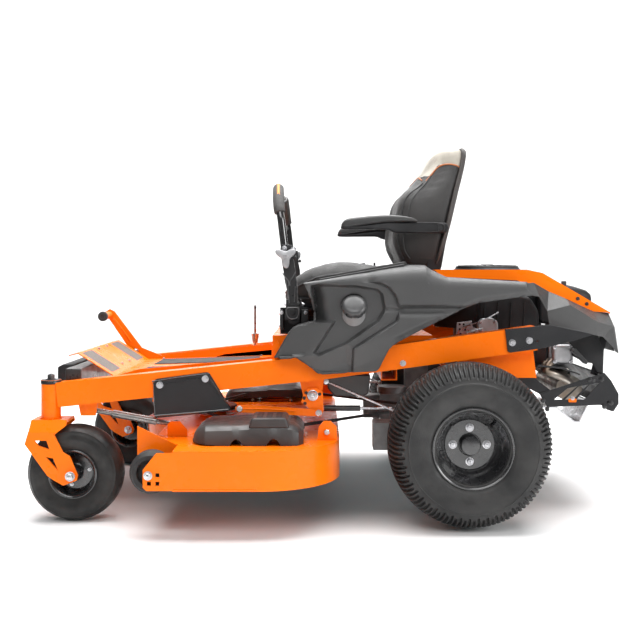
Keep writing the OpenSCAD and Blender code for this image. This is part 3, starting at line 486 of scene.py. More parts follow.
def smooth_path(points, per=8):
    """Catmull-Rom curve through the points."""
    p = [Vector(q) for q in points]
    p = [p[0] * 2 - p[1]] + p + [p[-1] * 2 - p[-2]]
    out = []
    for i in range(1, len(p) - 2):
        for k in range(per):
            t = k / per
            out.append(0.5 * (2 * p[i] + (p[i + 1] - p[i - 1]) * t
                + (2 * p[i - 1] - 5 * p[i] + 4 * p[i + 1] - p[i + 2]) * t * t
                + (3 * p[i] - p[i - 1] - 3 * p[i + 1] + p[i + 2]) * t ** 3))
    out.append(p[-2])
    return out


def tube_rings(path, radius, n=14):
    """Rings round a path; radius is a number or one number for each point."""
    path = [Vector(p) for p in path]
    rings, up = [], None
    for i, p in enumerate(path):
        d = (path[min(i + 1, len(path) - 1)] - path[max(i - 1, 0)]).normalized()
        if up is None:
            up = d.orthogonal().normalized()
        up = (up - d * up.dot(d)).normalized()
        side = d.cross(up)
        r = radius[i] if hasattr(radius, "__len__") else radius
        rings.append([p + (up * c + side * s) * r for c, s in circle(n)])
    return rings


def tube(name, path, radius, body, surface, n=14, per=8, slot=None):
    line = smooth_path(path, per) if per > 1 else path
    return loft(name, tube_rings(line, radius, n), body, surface, slot=slot)


def prism(name, outline, y0, y1, body, surface, edge=1.2):
    """A plate with a side-view outline between two y values."""
    rings = [[(x, y, z) for x, z in outline] for y in sorted((y0, y1))]
    return soften(loft(name, rings, body, surface), edge)


def rect(x0, x1, z0, z1):
    """Outline of a rectangle in the side view."""
    return [(x0, z0), (x1, z0), (x1, z1), (x0, z1)]


def box_piece(name, x, y, z, body, surface, edge=1.2):
    return prism(name, rect(*x, *z), *y, body, surface, edge)


def hex_bolt(name, at, axis, r, body, surface, h=6):
    """A flanged hexagon head with its stud."""
    a = Vector(axis).normalized()
    washer = [(r * 1.3, 0), (r * 1.35, 0.5), (r * 1.3, 1.6), (r * 0.9, 2.0)]
    head = [(r, 0), (r, h - 1.2), (r * 0.86, h), (r * 0.5, h), (r * 0.5, h + 1.8), (r * 0.36, h + 2.4)]
    turned(f"{name}_washer", at, a, washer, body, surface, 24)
    turned(f"{name}_head", Vector(at) + a * 1.9, a, head, body, surface, 6)


def ramp(x, a, b):
    """Smooth step of a number or array from 0 at a to 1 at b."""
    t = np.clip((x - a) / (b - a), 0, 1)
    return t * t * (3 - 2 * t)


def both(make):
    """Runs a maker for the left side (-1) and the right side (+1)."""
    for side, word in ((-1, "left"), (1, "right")):
        make(side, word)


make_camera()
make_light()
make_floor()
SURFACES = make_surfaces()
shading = weld_group()
for surface_name, node_names in SURFACE_OF.items():
    for node_name in node_names:
        dress(node_name, SURFACES[surface_name], shading)


# ---------------------------------------------------------------- wheels


def tyre_mesh(name, centre, profile, tread, around, side, body, surface):
    """A closed tyre section turned round, with the tread's height added along the section's normal."""
    line = np.array(profile)
    n = len(line)
    before, after = np.roll(line, 1, 0), np.roll(line, -1, 0)
    before[0], after[-1] = line[0], line[-1]
    d = after - before
    normal = np.stack([d[:, 1], -d[:, 0]], 1)
    normal /= np.maximum(np.linalg.norm(normal, axis=1, keepdims=True), 1e-9)
    theta = np.arange(around) * TAU / around
    height = tread(theta[:, None], line[None, :, 0], line[None, :, 1])
    r = line[None, :, 0] + normal[None, :, 0] * height
    y = line[None, :, 1] + normal[None, :, 1] * height
    verts = np.stack([centre[0] + r * np.cos(theta)[:, None], centre[1] - side * y,
        centre[2] + r * np.sin(theta)[:, None]], 2).reshape(-1, 3)
    faces = []
    for i in range(around):
        a, b = i * n, ((i + 1) % around) * n
        for j in range(n):
            k = (j + 1) % n
            faces.append((a + j, b + j, b + k, a + k))
    return mesh_object(name, verts.tolist(), faces, body, surface, 50)


def tyre_size(node):
    """Centre, radius and half width of a tyre, in millimetres of the machine's frame."""
    low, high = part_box(node)
    shift = Vector((0, MID_Y, 0))
    low, high = (low - shift) / MM, (high - shift) / MM
    return (low + high) / 2, (high.z - low.z) / 2, (high.y - low.y) / 2


def superellipse_section(r_out, r_wide, half, power=0.77, steps=60):
    points = []
    for i in range(steps + 1):
        a = math.pi * i / steps
        s, c = math.sin(a), math.cos(a)
        points.append((r_wide + (r_out - r_wide) * s ** power, half * signed_power(c, power)))
    return points


def resample(points, step_of):
    """Points along a path, their spacing given by step_of(point)."""
    out = [points[0]]
    i, here = 1, points[0]
    while i < len(points):
        step = step_of(here)
        d = math.dist(here, points[i])
        if d >= step:
            here = tuple(a + (b - a) * step / d for a, b in zip(here, points[i]))
            out.append(here)
        else:
            while i < len(points) and math.dist(here, points[i]) < step:
                i += 1
    out.append(points[-1])
    return out


def drive_wheel(side, word):
    c, r_out, half = tyre_size(f"{word}_drive_tyre")
    lugs = 100
    depth = 8
    body = f"{word}_drive_wheel"
    outer = superellipse_section(r_out - depth, 178, half - 1.2, 0.77, 90)
    rings = (191, 176, 134)

    def spacing(p):
        if p[0] > 202:
            return 3.9
        return 1.3 if min(abs(p[0] - r) for r in rings) < 4 else 5.0

    line = resample(outer, spacing)
    profile = [(106, 80), (109, 86), (121, 86), (126, 90.5), (134, 93.5)] + [p for p in line if p[0] > 0]
    profile += [(134, -93.5), (126, -90.5), (121, -86), (109, -86), (106, -80)]

    def tread(theta, r, y):
        u = np.clip(np.abs(y) / half, 0, 1)
        edge = ramp(r, 203.0, 208.0)
        shift = np.where(y > 0, 0.5, 0.0)
        curve = 0.95 * np.clip(1 - u, 0, 1) ** 1.4 + 0.22 * ramp(r, 240, 205)
        phase = (lugs * theta / TAU + shift + curve) % 1.0
        pair = np.floor(lugs * theta / TAU + shift + curve) % 2
        lug = ramp(phase, 0.0, 0.12) * (1 - ramp(phase, 0.5, 0.62))
        lug = lug * ramp(r, 203.0 + 6 * pair, 208.0 + 6 * pair)
        reach = ramp(u, 0.15 + 0.07 * pair, 0.2 + 0.07 * pair)
        split = 1 - 0.75 * (ramp(u, 0.46, 0.49) - ramp(u, 0.53, 0.56)) * (1 - ramp(r, 246, 240))
        wave = (lugs / 4 * theta / TAU) % 1.0
        zigzag = 0.05 * (np.abs(wave - 0.5) * 4 - 1)
        rib = 1 - ramp(np.abs(y / half - zigzag), 0.075, 0.105)
        height = depth * np.maximum(lug * reach * split, rib) * edge
        for at, wide, tall in ((200, 3, 1.2), (191, 1.3, -2.0), (176, 1.2, -1.6), (160, 14, 1.5), (134, 1.4, -1.6),
                (128, 3, 1.5)):
            height = height + tall * np.exp(-((r - at) / wide) ** 2) * (r < 203)
        return height

    piece = tyre_mesh(f"{word}_turf_tyre", c, profile, tread, 800, side, body, "tyre_rubber")
    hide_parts(f"{word}_drive_tyre")

    # The rim: rolled lip, stepped bead seat, drop centre and the disc with its studs
    out = Vector((0, side, 0))
    lip = [
        (112, 80), (117.5, 84.5), (120.5, 87), (121.5, 89), (120, 91.2), (117, 91.4), (114.4, 89.8),
        (113.4, 86), (112, 84.5), (108.5, 84), (106.8, 82), (106, 78), (103.5, 71), (98, 59), (92.5, 47),
        (88.5, 34), (86, 22), (83.5, 16.5), (79.5, 13.5), (76.5, 14.2), (74, 16.2), (40, 16.4), (34, 16.2),
        (31.5, 12), (30, 12), (28.6, 16), (27.8, 38), (25.5, 41.5), (22, 42.4), (0, 42.6),
    ]
    back = [
        (0, 5), (60, 5), (88, 6), (90, -10), (90.5, -58), (99, -66), (104, -72), (106, -84), (110, -90),
        (117, -91.5), (121.5, -89), (119, -86.5), (112, -80), (106, -60), (104, 0), (106, 60), (112, 80),
    ]
    rim = turned(f"{word}_steel_rim", c, out, lip[::-1] + back[::-1], body, "rim_paint", 96, 30)
    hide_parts(f"{word}_drive_rim")
    zinc = "zinc_steel"
    for i in range(4):
        a = math.pi / 2 * i
        at = c + out * 16.4 + Vector((math.cos(a), 0, math.sin(a))) * 50.8
        hex_bolt(f"{word}_wheel_nut_{i}", at, out, 9.5, body, zinc, 10)
        a += math.pi / 4
        hole = c + out * 16.8 + Vector((math.cos(a), 0, math.sin(a))) * 70
        turned(f"{word}_rim_slot_{i}", hole, out, [(6, -3), (6.4, 0.3), (5.2, 0.3), (4.8, -2.6)], body, "rim_paint",
            20)
    turned(f"{word}_hub_cap_ring", c + out * 38.5, out, [(27.9, 0), (28.3, 1.4), (27, 2.8), (24, 3.2), (23.6, 2.2)],
        body, "rim_paint", 40)
    valve = c + out * 30 + Vector((64, 0, 64))
    tube(f"{word}_valve_stem", [valve, valve + out * 12 + Vector((-3, 0, -3)),
        valve + out * 26 + Vector((-7, 0, -7))], 4.2, body, "black_rubber", 12, 3)
    turned(f"{word}_valve_cap", valve + out * 25 + Vector((-7, 0, -7)), out + Vector((-0.2, 0, -0.2)),
        [(4.6, 0), (5, 2), (5, 8), (3.6, 10)], body, "black_plastic", 14)
    # Axle and hub behind the disc, as far in as the transaxle
    turned(f"{word}_wheel_hub", c, -out, [(42, -4), (42, 40), (36, 46), (16, 46), (16, 172)], body, "engine_black",
        40)


def caster_wheel(side, word):
    c, r_out, half = tyre_size(f"{word}_caster_tyre")
    body = f"{word}_caster_wheel"
    outer = superellipse_section(r_out - 0.4, 105, half - 0.6, 0.82, 70)
    line = resample(outer, lambda p: 4.0)
    profile = [(63, 38), (66, 44), (77, 44), (82, 47)] + line + [(82, -47), (77, -44), (66, -44), (63, -38)]

    def tread(theta, r, y):
        height = np.zeros((len(theta), r.shape[1]))
        for at, wide, tall in ((131, 2.2, -1.6), (127, 1.5, 0.9), (88, 2.5, 1.4), (94, 1.5, -0.6)):
            height = height + tall * np.exp(-((r - at) / wide) ** 2)
        scuff = np.sin(theta * 17 + 3) * np.sin(theta * 29) * np.sin(y * 0.11 + theta * 5)
        return height + 0.35 * scuff * ramp(r, 120, 140)

    piece = tyre_mesh(f"{word}_smooth_tyre", c, profile, tread, 192, side, body, "caster_rubber")
    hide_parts(f"{word}_caster_tyre")
    out = Vector((0, side, 0))
    half_rim = [
        (62, 20), (66, 40), (72, 45), (74.6, 46), (75, 48), (72.5, 49), (68, 47.6), (64.5, 44), (61.5, 36),
        (59, 30), (57, 12), (52, 6), (30, 5), (24, 8), (22.5, 50), (20.5, 53.5), (13, 53.8), (8.4, 53.8),
    ]
    rings = [(r, h) for r, h in half_rim[::-1]] + [(r, -h) for r, h in half_rim]
    rim = turned(f"{word}_caster_hub", c, out, rings, body, "rim_paint", 80, 30)
    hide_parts(f"{word}_caster_rim")
    zinc = "zinc_steel"
    for i in range(3):
        a = math.radians(250 + 120 * i)
        hex_bolt(f"{word}_caster_rim_bolt_{i}", c + out * 5.4 + Vector((math.cos(a), 0, math.sin(a))) * 42, out, 5,
            body, zinc, 4)
    turned(f"{word}_bearing_cap", c + out * 50, out, [(18.5, 0), (19.5, 2), (17, 4), (10, 4.2), (9, 2)], body,
        "black_plastic", 32)
    # Bolt through the fork tips
    fork = f"{word}_caster"
    for way in (-1, 1):
        tip = c + Vector((0, way * 77.5, 0))
        turned(f"{word}_axle_washer_{'in' if way == -side else 'out'}", tip, (0, way, 0),
            [(15, 0), (15.4, 0.6), (14.6, 2.2)], fork, zinc, 28)
        turned(f"{word}_axle_nut_{'in' if way == -side else 'out'}", tip + Vector((0, way * 1.8, 0)), (0, way, 0),
            [(12, 0), (12, 8), (10, 9.6), (7, 9.8), (7, 12), (5, 13)], fork, zinc, 6)


both(drive_wheel)
both(caster_wheel)


# ---------------------------------------------------------------- fenders and rear cover


def line_distance(p, line):
    """Distance from each point of p to an open line."""
    best = np.full(len(p), 1e9)
    for a, b in zip(line, line[1:]):
        a, d = np.array(a, float), np.array(b, float) - np.array(a, float)
        t = np.clip(((p - a) @ d) / max(d @ d, 1e-9), 0, 1)
        best = np.minimum(best, np.linalg.norm(p - a - t[:, None] * d, axis=1))
    return best


def inside(p, ring):
    hit = np.zeros(len(p), bool)
    for a, b in zip(ring, ring[1:] + ring[:1]):
        crosses = (a[1] > p[:, 1]) != (b[1] > p[:, 1])
        x = a[0] + (p[:, 1] - a[1]) * (b[0] - a[0]) / ((b[1] - a[1]) or 1e-9)
        hit ^= crosses & (p[:, 0] < x)
    return hit


def signed(p, ring):
    """Distance to a closed outline, positive inside it."""
    d = line_distance(p, ring + ring[:1])
    return np.where(inside(p, ring), d, -d)


def split_line(line, step):
    out = []
    for a, b in zip(line, line[1:]):
        n = max(1, round(math.dist(a, b) / step))
        out += [tuple(np.array(a) + (np.array(b) - np.array(a)) * i / n) for i in range(n)]
    return out + [line[-1]]


def skin(outline, fine_near, fine=2.6, coarse=7.0, reach=11.0):
    """Triangles that fill a closed outline, denser near the given lines."""
    ring = split_line(outline + outline[:1], 5.0)[:-1]
    low, high = np.min(ring, 0), np.max(ring, 0)
    points = []
    for step, near in ((fine, True), (coarse, False)):
        gx, gy = np.meshgrid(np.arange(low[0], high[0], step), np.arange(low[1], high[1], step * 0.87))
        gx = gx + (np.arange(gx.shape[0])[:, None] % 2) * step / 2
        p = np.stack([gx.ravel(), gy.ravel()], 1)
        p = p[signed(p, ring) > 1.2]
        d = np.min([line_distance(p, f) for f in fine_near], axis=0)
        points.append(p[d < reach] if near else p[d >= reach])
    p = np.concatenate(points)
    n = len(ring)
    verts = [Vector(v) for v in ring] + [Vector(v) for v in p]
    out = delaunay_2d_cdt(verts, [], [list(range(n))], 1, 1e-4)
    return np.array([tuple(v) for v in out[0]]), [tuple(f) for f in out[2]]


FENDER_TOP = [(-83, 737), (241, 794), (290, 794), (314, 777), (356, 756), (603, 741)]
FENDER_BOTTOM = [
    (621, 700), (600, 697.5), (454, 677), (400, 658), (348, 630), (262, 588), (205, 557), (188, 546), (176, 534),
    (147, 476), (138, 468), (-32, 459), (-107, 510), (-175, 508),
]
FENDER_FRONT = [(-134, 579), (-118, 598), (-102, 607), (-49, 620), (-50, 650), (-58, 690)]
CREASE_OUTER = [(-83, 737), (-34, 738), (97, 745), (150, 738), (178, 724), (197, 700), (211, 655), (201, 622),
    (68, 538), (65, 462)]
CREASE_INNER = [(-58, 727), (-34, 731), (77, 727), (140, 718), (156, 704), (165, 657), (144, 622), (46, 554),
    (-37, 517)]
CREASE_WEDGE = [(-49, 620), (10, 619), (-51, 524), (-37, 517)]
CAP_DISH = [(31, 672), (50, 690), (71, 696), (92, 690), (111, 672)]
# The fuel cap's foot seen from the side, how deep it lies, its tilt, its rim's height and its radius with a gap
CAP_AT, CAP_DEPTH, CAP_RIM, CAP_REACH = (71, 642), 42, 29.5, 43.5
CAP_COS, CAP_SIN = 0.819, 0.574
# The fenders' outermost plane and the inner edge of their flat tops
FENDER_OUT, FENDER_IN = 500, 262


def shoulder(x):
    """Radius of the rounded top edge."""
    return np.interp(x, [-83, 60, 241, 300, 356, 603], [3, 22, 50, 50, 30, 22])


def top_height(x):
    return np.interp(x, [p[0] for p in FENDER_TOP], [p[1] for p in FENDER_TOP])


def fender_depth(p):
    """How far the fender's side lies in from its outermost plane."""
    x, z = p[:, 0], p[:, 1]
    outer = CREASE_OUTER + [(-32, 459), (-107, 510), (-175, 508), (-134, 579), (-102, 607), (-49, 620), (-58, 690)]
    left = ramp(signed(p, outer), -2.0, 3.0)
    ends = np.minimum(line_distance(p, FENDER_FRONT[3:] + [(-83, 737)]), 60)
    left = left * ramp(x, -75, -40) + ramp(x, -40, -75) * (z < 640)
    floor_ring = CREASE_INNER + [(-51, 524), (10, 619), (-49, 620)]
    floor = ramp(signed(p, floor_ring), -5, 6)
    depth = 11 * left + 17 * floor
    depth += 46 * ramp(60 - ends, 8, 60) ** 1.3 * ramp(z, 600, 640) * floor
    # Grooves that draw the creases sharp
    depth += 6 * np.exp(-((line_distance(p, CREASE_OUTER[2:] + [(66, 461)]) / 2.6) ** 2)) * ramp(x, 20, 90)
    depth += 2.5 * np.exp(-((line_distance(p, CREASE_INNER) / 2.4) ** 2))
    # The wedge ahead of the recess tips away to the front, and the panel under the crease tips under
    wedge = [(-184, 505), (-141, 584), (-106, 614), (-49, 624), (10, 619), (-51, 524)]
    depth += np.clip(line_distance(p, [(10, 619), (-51, 524)]) * 0.13, 0, 16) * inside(p, wedge)
    below = np.interp(x, [-175, -37, 46, 68, 230], [508, 517, 554, 538, 600])
    depth += np.clip((below - z) * 0.3, 0, 18) * ramp(x, 235, 60)
    # Behind the recess the side draws in a little towards the tail
    depth += 10 * ramp(x, 260, 600) + 9 * ramp(np.interp(x, [180, 348, 454, 621], [552, 632, 679, 702]) + 16 - z, 0,
        16) * ramp(x, 170, 215)
    return depth


def cap_dish(p):
    """Depth that keeps the skin under the fuel cap's rim or outside its edge."""
    x, z = p[:, 0] - CAP_AT[0], p[:, 1] - CAP_AT[1]
    under_rim = CAP_DEPTH + (CAP_SIN * z - CAP_RIM) / CAP_COS
    outside = CAP_DEPTH + (np.sqrt(np.maximum(CAP_REACH**2 - x**2, 0)) - CAP_COS * z) / CAP_SIN
    return np.minimum(under_rim, outside)


def fender(side, word):
    surface = "grey_plastic"
    xs = sorted(set(np.round(np.concatenate([np.arange(-83, 603, 7.0), [241, 290, 314, 356, 603]]), 2)))
    base = [(x, top_height(x) - shoulder(x)) for x in xs]
    outline = base + [(610, 712)] + FENDER_BOTTOM + FENDER_FRONT
    pts, faces = skin(outline, [CREASE_OUTER, CREASE_INNER, CREASE_WEDGE, CAP_DISH])
    depth = fender_depth(pts)
    if side < 0:
        depth = np.maximum(depth, cap_dish(pts))
    verts = [(x, side * (FENDER_OUT - d), z) for (x, z), d in zip(pts.tolist(), depth)]
    # Rounded top edge and the flat top behind it
    start = len(verts)
    steps = [("arc", a) for a in np.radians([0, 12, 25, 38, 52, 66, 78, 90])]
    steps += [("flat", f) for f in (0.3, 0.65, 1.0)]
    base_depth = fender_depth(np.array(base))
    for kind, v in steps:
        for (x, z), d0 in zip(base, base_depth):
            r = shoulder(x)
            if kind == "arc":
                y, zz = FENDER_OUT - d0 - r * (1 - math.cos(v)), z + r * math.sin(v)
            else:
                y, zz = (FENDER_OUT - d0 - r) * (1 - v) + FENDER_IN * v, z + r
            verts.append((x, side * y, zz))
    faces += [tuple(start + i for i in f) for f in ring_faces(len(steps), len(xs), closed=False)]
    # Folded-in lip round the rest of the edge
    loop = split_line([(610, 712)] + FENDER_BOTTOM + FENDER_FRONT + [(-83, 734)], 6.0)
    d = fender_depth(np.array(loop))
    wide = np.array([np.interp(x, [-175, -90, -40, 150, 210, 620], [70, 90, 16, 16, 30, 34]) if z > 470 else 16
        for x, z in loop])
    wide = np.where([z > 520 and x < 0 for x, z in loop], 88, wide)
    start = len(verts)
    for share in (0, 0.12, 1.0):
        for (x, z), d0, w in zip(loop, d, wide):
            verts.append((x, side * (FENDER_OUT - d0 - share * w), z))
    faces += [tuple(start + i for i in f) for f in ring_faces(3, len(loop), closed=False)]
    piece = mesh_object(f"{word}_fender_skin", verts, faces, "chassis", surface, 42)
    sheet(piece)
    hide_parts(f"{word}_fender")
    # Ribbed rubber step strip on top
    a, b = -44.0, 236.0
    rings = []
    for i in range(57):
        x = a + (b - a) * i / 56
        z = float(top_height(x)) + 0.5
        h = 12.0 if i not in (0, 56) else 4.0
        w0, w1 = 458 - 14 * ramp(a + 60 - x, 0, 60), 404
        ribs = 1.2 if i % 2 else 0.0
        rings.append([(x, side * y, zz) for y, zz in (
            (w0, z), (w0, z + h - 1.5), (w0 - 3, z + h - ribs), (w1 + 3, z + h - ribs), (w1, z + h - 1.5),
            (w1, z))])
    loft(f"{word}_step_strip", rings, "chassis", "black_rubber", 20)
    for k, y in enumerate((463, 398)):
        bead_x = [a + 10 + (b - a - 20) * i / 12 for i in range(13)]
        edge = [(x, side * y, float(top_height(x)) + 3) for x in bead_x]
        tube(f"{word}_strip_bead_{k}", edge, 2.6, "chassis", surface, 8, 1)


def filler():
    """Filler neck of the tank and the finger-notched cap on it."""
    turn = next(j for j in frame["joints"] if j["name"] == "fuel_cap_turn")
    axis = Vector(turn["axis"]).normalized()
    foot = (Vector(turn["pos_m"]) - Vector((0, MID_Y, 0))) / MM
    turned("filler_neck", foot, axis, [(30, -22), (38.5, -14), (38.5, 6), (37, 9), (35, 30), (31, 31), (28, 30),
        (28, -15)], "chassis", "neck_plastic", 48)
    u = Vector((1, 0, 0))
    v = axis.cross(u)
    rings = []
    for h, r, notch in ((32.2, 36.5, 2.4), (33.2, 38.0, 3.4), (38, 38.4, 3.6), (45, 38.4, 3.2), (49, 38.0, 1.6),
            (51, 37.0, 0.3),
                        (54, 35, 0), (57.5, 29, 0), (58.8, 20, 0), (59.2, 8, 0)):
        ring = []
        for i in range(96):
            t = TAU * i / 96
            w = (math.cos(8 * t) + 1) / 2
            rr = r - notch * ramp(w, 0.45, 0.75)
            ring.append(foot + axis * h + (u * math.cos(t) + v * math.sin(t)) * float(rr))
        rings.append(ring)
    cap = loft("fuel_cap_knob", rings, "cap", "cap_plastic", 35)
    # Dark finger pockets let into the cap's skirt, drawn as black tubes whose darkness is painted shade
    for k in range(6):
        t = math.radians(60 * k + 60)
        out = u * math.cos(t) + v * math.sin(t)
        along_rim = axis.cross(out)
        path = [foot + axis * 38.5 + (out * math.cos(q) + along_rim * math.sin(q)) * (38.2 - 1.5 * abs(q) / 0.2)
            for q in np.linspace(-0.3, 0.3, 9)]
        loft(f"fuel_cap_pocket_shade_{k}", tube_rings(path, [0.6, 2.0, 2.9, 3.3, 3.4, 3.3, 2.9, 2.0, 0.6], 12), "cap",
            "black_plastic", 60)
    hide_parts("fuel_cap")


def rear_cover():
    """Faceted moulding that joins the two fenders round the engine."""
    surface = "grey_plastic"
    # Corners: x, distance from the centre plane, z
    top = {
        "a": (607, 384, 737), "b": (648, 372, 738), "c": (699, 352, 711), "d": (757, 344, 687),
        "e": (848, 338, 645), "f": (900, 322, 640), "g": (922, 318, 594), "h": (931, 300, 514),
        "m": (660, 394, 694), "n": (684, 396, 649), "o": (690, 395, 603), "p": (841, 392, 571),
        "q": (868, 372, 566), "r": (931, 330, 510), "s": (757, 394, 668), "t": (848, 388, 612),
        "u": (624, 386, 700), "v": (898, 374, 600),
    }
    quads = [
        ("a", "u", "m", "b"), ("b", "m", "n", "c"), ("c", "n", "s", "d"), ("n", "o", "p", "s"), ("s", "p", "t"),
        ("d", "s", "t", "e"), ("e", "t", "v", "f"), ("t", "p", "q", "v"), ("f", "v", "g"), ("v", "q", "r", "g"),
        ("g", "r", "h"),
    ]
    names = list(top)
    faces = [tuple(names.index(k) for k in q) for q in quads]
    for side, word in ((-1, "left"), (1, "right")):
        verts = [(x, side * y, z) for x, y, z in top.values()]
        piece = mesh_object(f"{word}_rear_moulding", verts, faces, "chassis", surface, 12)
        sheet(piece)
        soften(piece, 1.8, 3, 8)
        if side < 0:
            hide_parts("rear_cover")
    # The panel across the back, with five long vents drawn as black rods, a painted shade
    line = [(848, 645), (900, 640), (922, 594), (931, 514)]
    rows = split_line(line, 9)
    cols = np.linspace(-1, 1, 49)
    verts = []
    for i, (x, z) in enumerate(rows):
        share = i / (len(rows) - 1)
        half = np.interp(share, [0, 0.3, 0.6, 1.0], [338, 322, 318, 300])
        for c in cols:
            verts.append((x + 3.5 * math.cos(c * math.pi / 2) - 3.5, c * half, z))
    faces = ring_faces(len(rows), len(cols), closed=False)
    panel = mesh_object("rear_panel", verts, faces, "chassis", surface, 25)
    sheet(panel)
    soften(panel, 1.5, 2, 20)
    for k in range(5):
        z = 586 - 13 * k
        x = float(np.interp(z, [514, 594], [931, 922]))
        slot_line = [(x - 1.2, y, z) for y in np.linspace(-150, 150, 9)]
        tube(f"rear_vent_shade_{k}", slot_line, 3.0, "chassis", "black_plastic", 8, 1)


both(fender)
filler()
rear_cover()


# ---------------------------------------------------------------- seat


def inflate(obj, pressure, cap_mm, voxel_mm, held, frames=18):
    """Swells a closed pad by a short cloth simulation; held(points in mm) says which vertices stay put."""
    depsgraph = bpy.context.evaluated_depsgraph_get
    grid = obj.modifiers.new("grid", "REMESH")
    grid.mode = "VOXEL"
    grid.voxel_size = voxel_mm * MM
    mesh = bpy.data.meshes.new_from_object(obj.evaluated_get(depsgraph()))
    obj.modifiers.clear()
    obj.data = mesh
    rest = np.array([v.co for v in mesh.vertices])
    keep = held((rest - [0, MID_Y, 0]) / MM)
    group = obj.vertex_groups.new(name="held")
    group.add([int(i) for i in np.nonzero(keep)[0]], 1.0, "REPLACE")
    cloth = obj.modifiers.new("swell", "CLOTH")
    c = cloth.settings
    c.quality = 5
    c.mass = 0.25
    c.use_pressure = True
    c.uniform_pressure_force = pressure
    c.tension_stiffness = c.compression_stiffness = 12
    c.shear_stiffness = 6
    c.bending_stiffness = 0.8
    c.vertex_group_mass = "held"
    c.effector_weights.gravity = 0
    cloth.point_cache.frame_end = frames
    scene = bpy.context.scene
    for f in range(1, frames + 1):
        scene.frame_set(f)
    moved = bpy.data.meshes.new_from_object(obj.evaluated_get(depsgraph()))
    now = np.array([v.co for v in moved.vertices])
    obj.modifiers.clear()
    obj.vertex_groups.clear()
    step = now - rest
    size = np.linalg.norm(step, axis=1, keepdims=True)
    step *= np.minimum(1, cap_mm * MM / np.maximum(size, 1e-9))
    # The fabric is taut, so small wrinkles are smoothed out of the movement
    a, b = np.array([e.vertices[:] for e in mesh.edges]).T
    count = np.bincount(np.concatenate([a, b]), minlength=len(rest))[:, None]
    for _ in range(14):
        total = np.zeros_like(step)
        np.add.at(total, a, step[b])
        np.add.at(total, b, step[a])
        step = 0.4 * step + 0.6 * total / np.maximum(count, 1)
    mesh.vertices.foreach_set("co", (rest + step).ravel())
    mesh.update()
    scene.frame_set(1)
    return obj


def dent(obj, lines, wide, deep):
    """Draws seams in: vertices near a line in machine mm sink along their normal."""
    mesh = obj.data
    co = np.array([v.co for v in mesh.vertices])
    no = np.array([v.normal for v in mesh.vertices])
    p = (co - [0, MID_Y, 0]) / MM
    best = np.min([line_distance(p, line) for line in lines], axis=0)
    co -= no * (deep * MM * np.exp(-(best / wide) ** 2))[:, None]
    mesh.vertices.foreach_set("co", co.ravel())
    mesh.update()


def onto(obj, points, lift=0.0):
    """Moves points to the nearest place on a pad's surface, lifted off it."""
    tree = BVHTree.FromPolygons([v.co for v in obj.data.vertices], [p.vertices[:] for p in obj.data.polygons])
    out = []
    for p in points:
        at, normal, _, _ = tree.find_nearest(Vector((p[0] * MM, p[1] * MM + MID_Y, p[2] * MM)))
        q = (at + normal * lift * MM - Vector((0, MID_Y, 0))) / MM
        out.append(q)
    return out


def stitches(name, pad, line, surface, body, pitch=9.0, lift=0.5):
    """A row of short raised threads along a line on a pad, in one piece."""
    points = onto(pad, split_line([tuple(p) for p in line], pitch), lift)
    verts, faces = [], []
    for a, b in zip(points, points[1:]):
        d = b - a
        if d.length < 2:
            continue
        for ring in tube_rings([a + d * 0.12, a + d * 0.35, a + d * 0.6, a + d * 0.78], [0.35, 0.75, 0.75, 0.35],
                6):
            verts += ring
        faces += [tuple(len(verts) - 24 + i for i in f) for f in ring_faces(4, 6)]
    return mesh_object(name, verts, faces, body, surface)


def cushion_section(x):
    """Half width, underside and top of the seat cushion at x."""
    top = np.interp(x, [-163, -156, -140, -108, -50, 0, 50, 120, 170, 230, 306],
        [686, 706, 727, 753, 783, 797, 802, 794, 783, 774, 770])
    low = np.interp(x, [-163, -150, -120, 306], [680, 661, 655, 654])
    half = np.interp(x, [-163, -150, -110, -40, 306], [168, 186, 204, 216, 214])
    return half, low, top


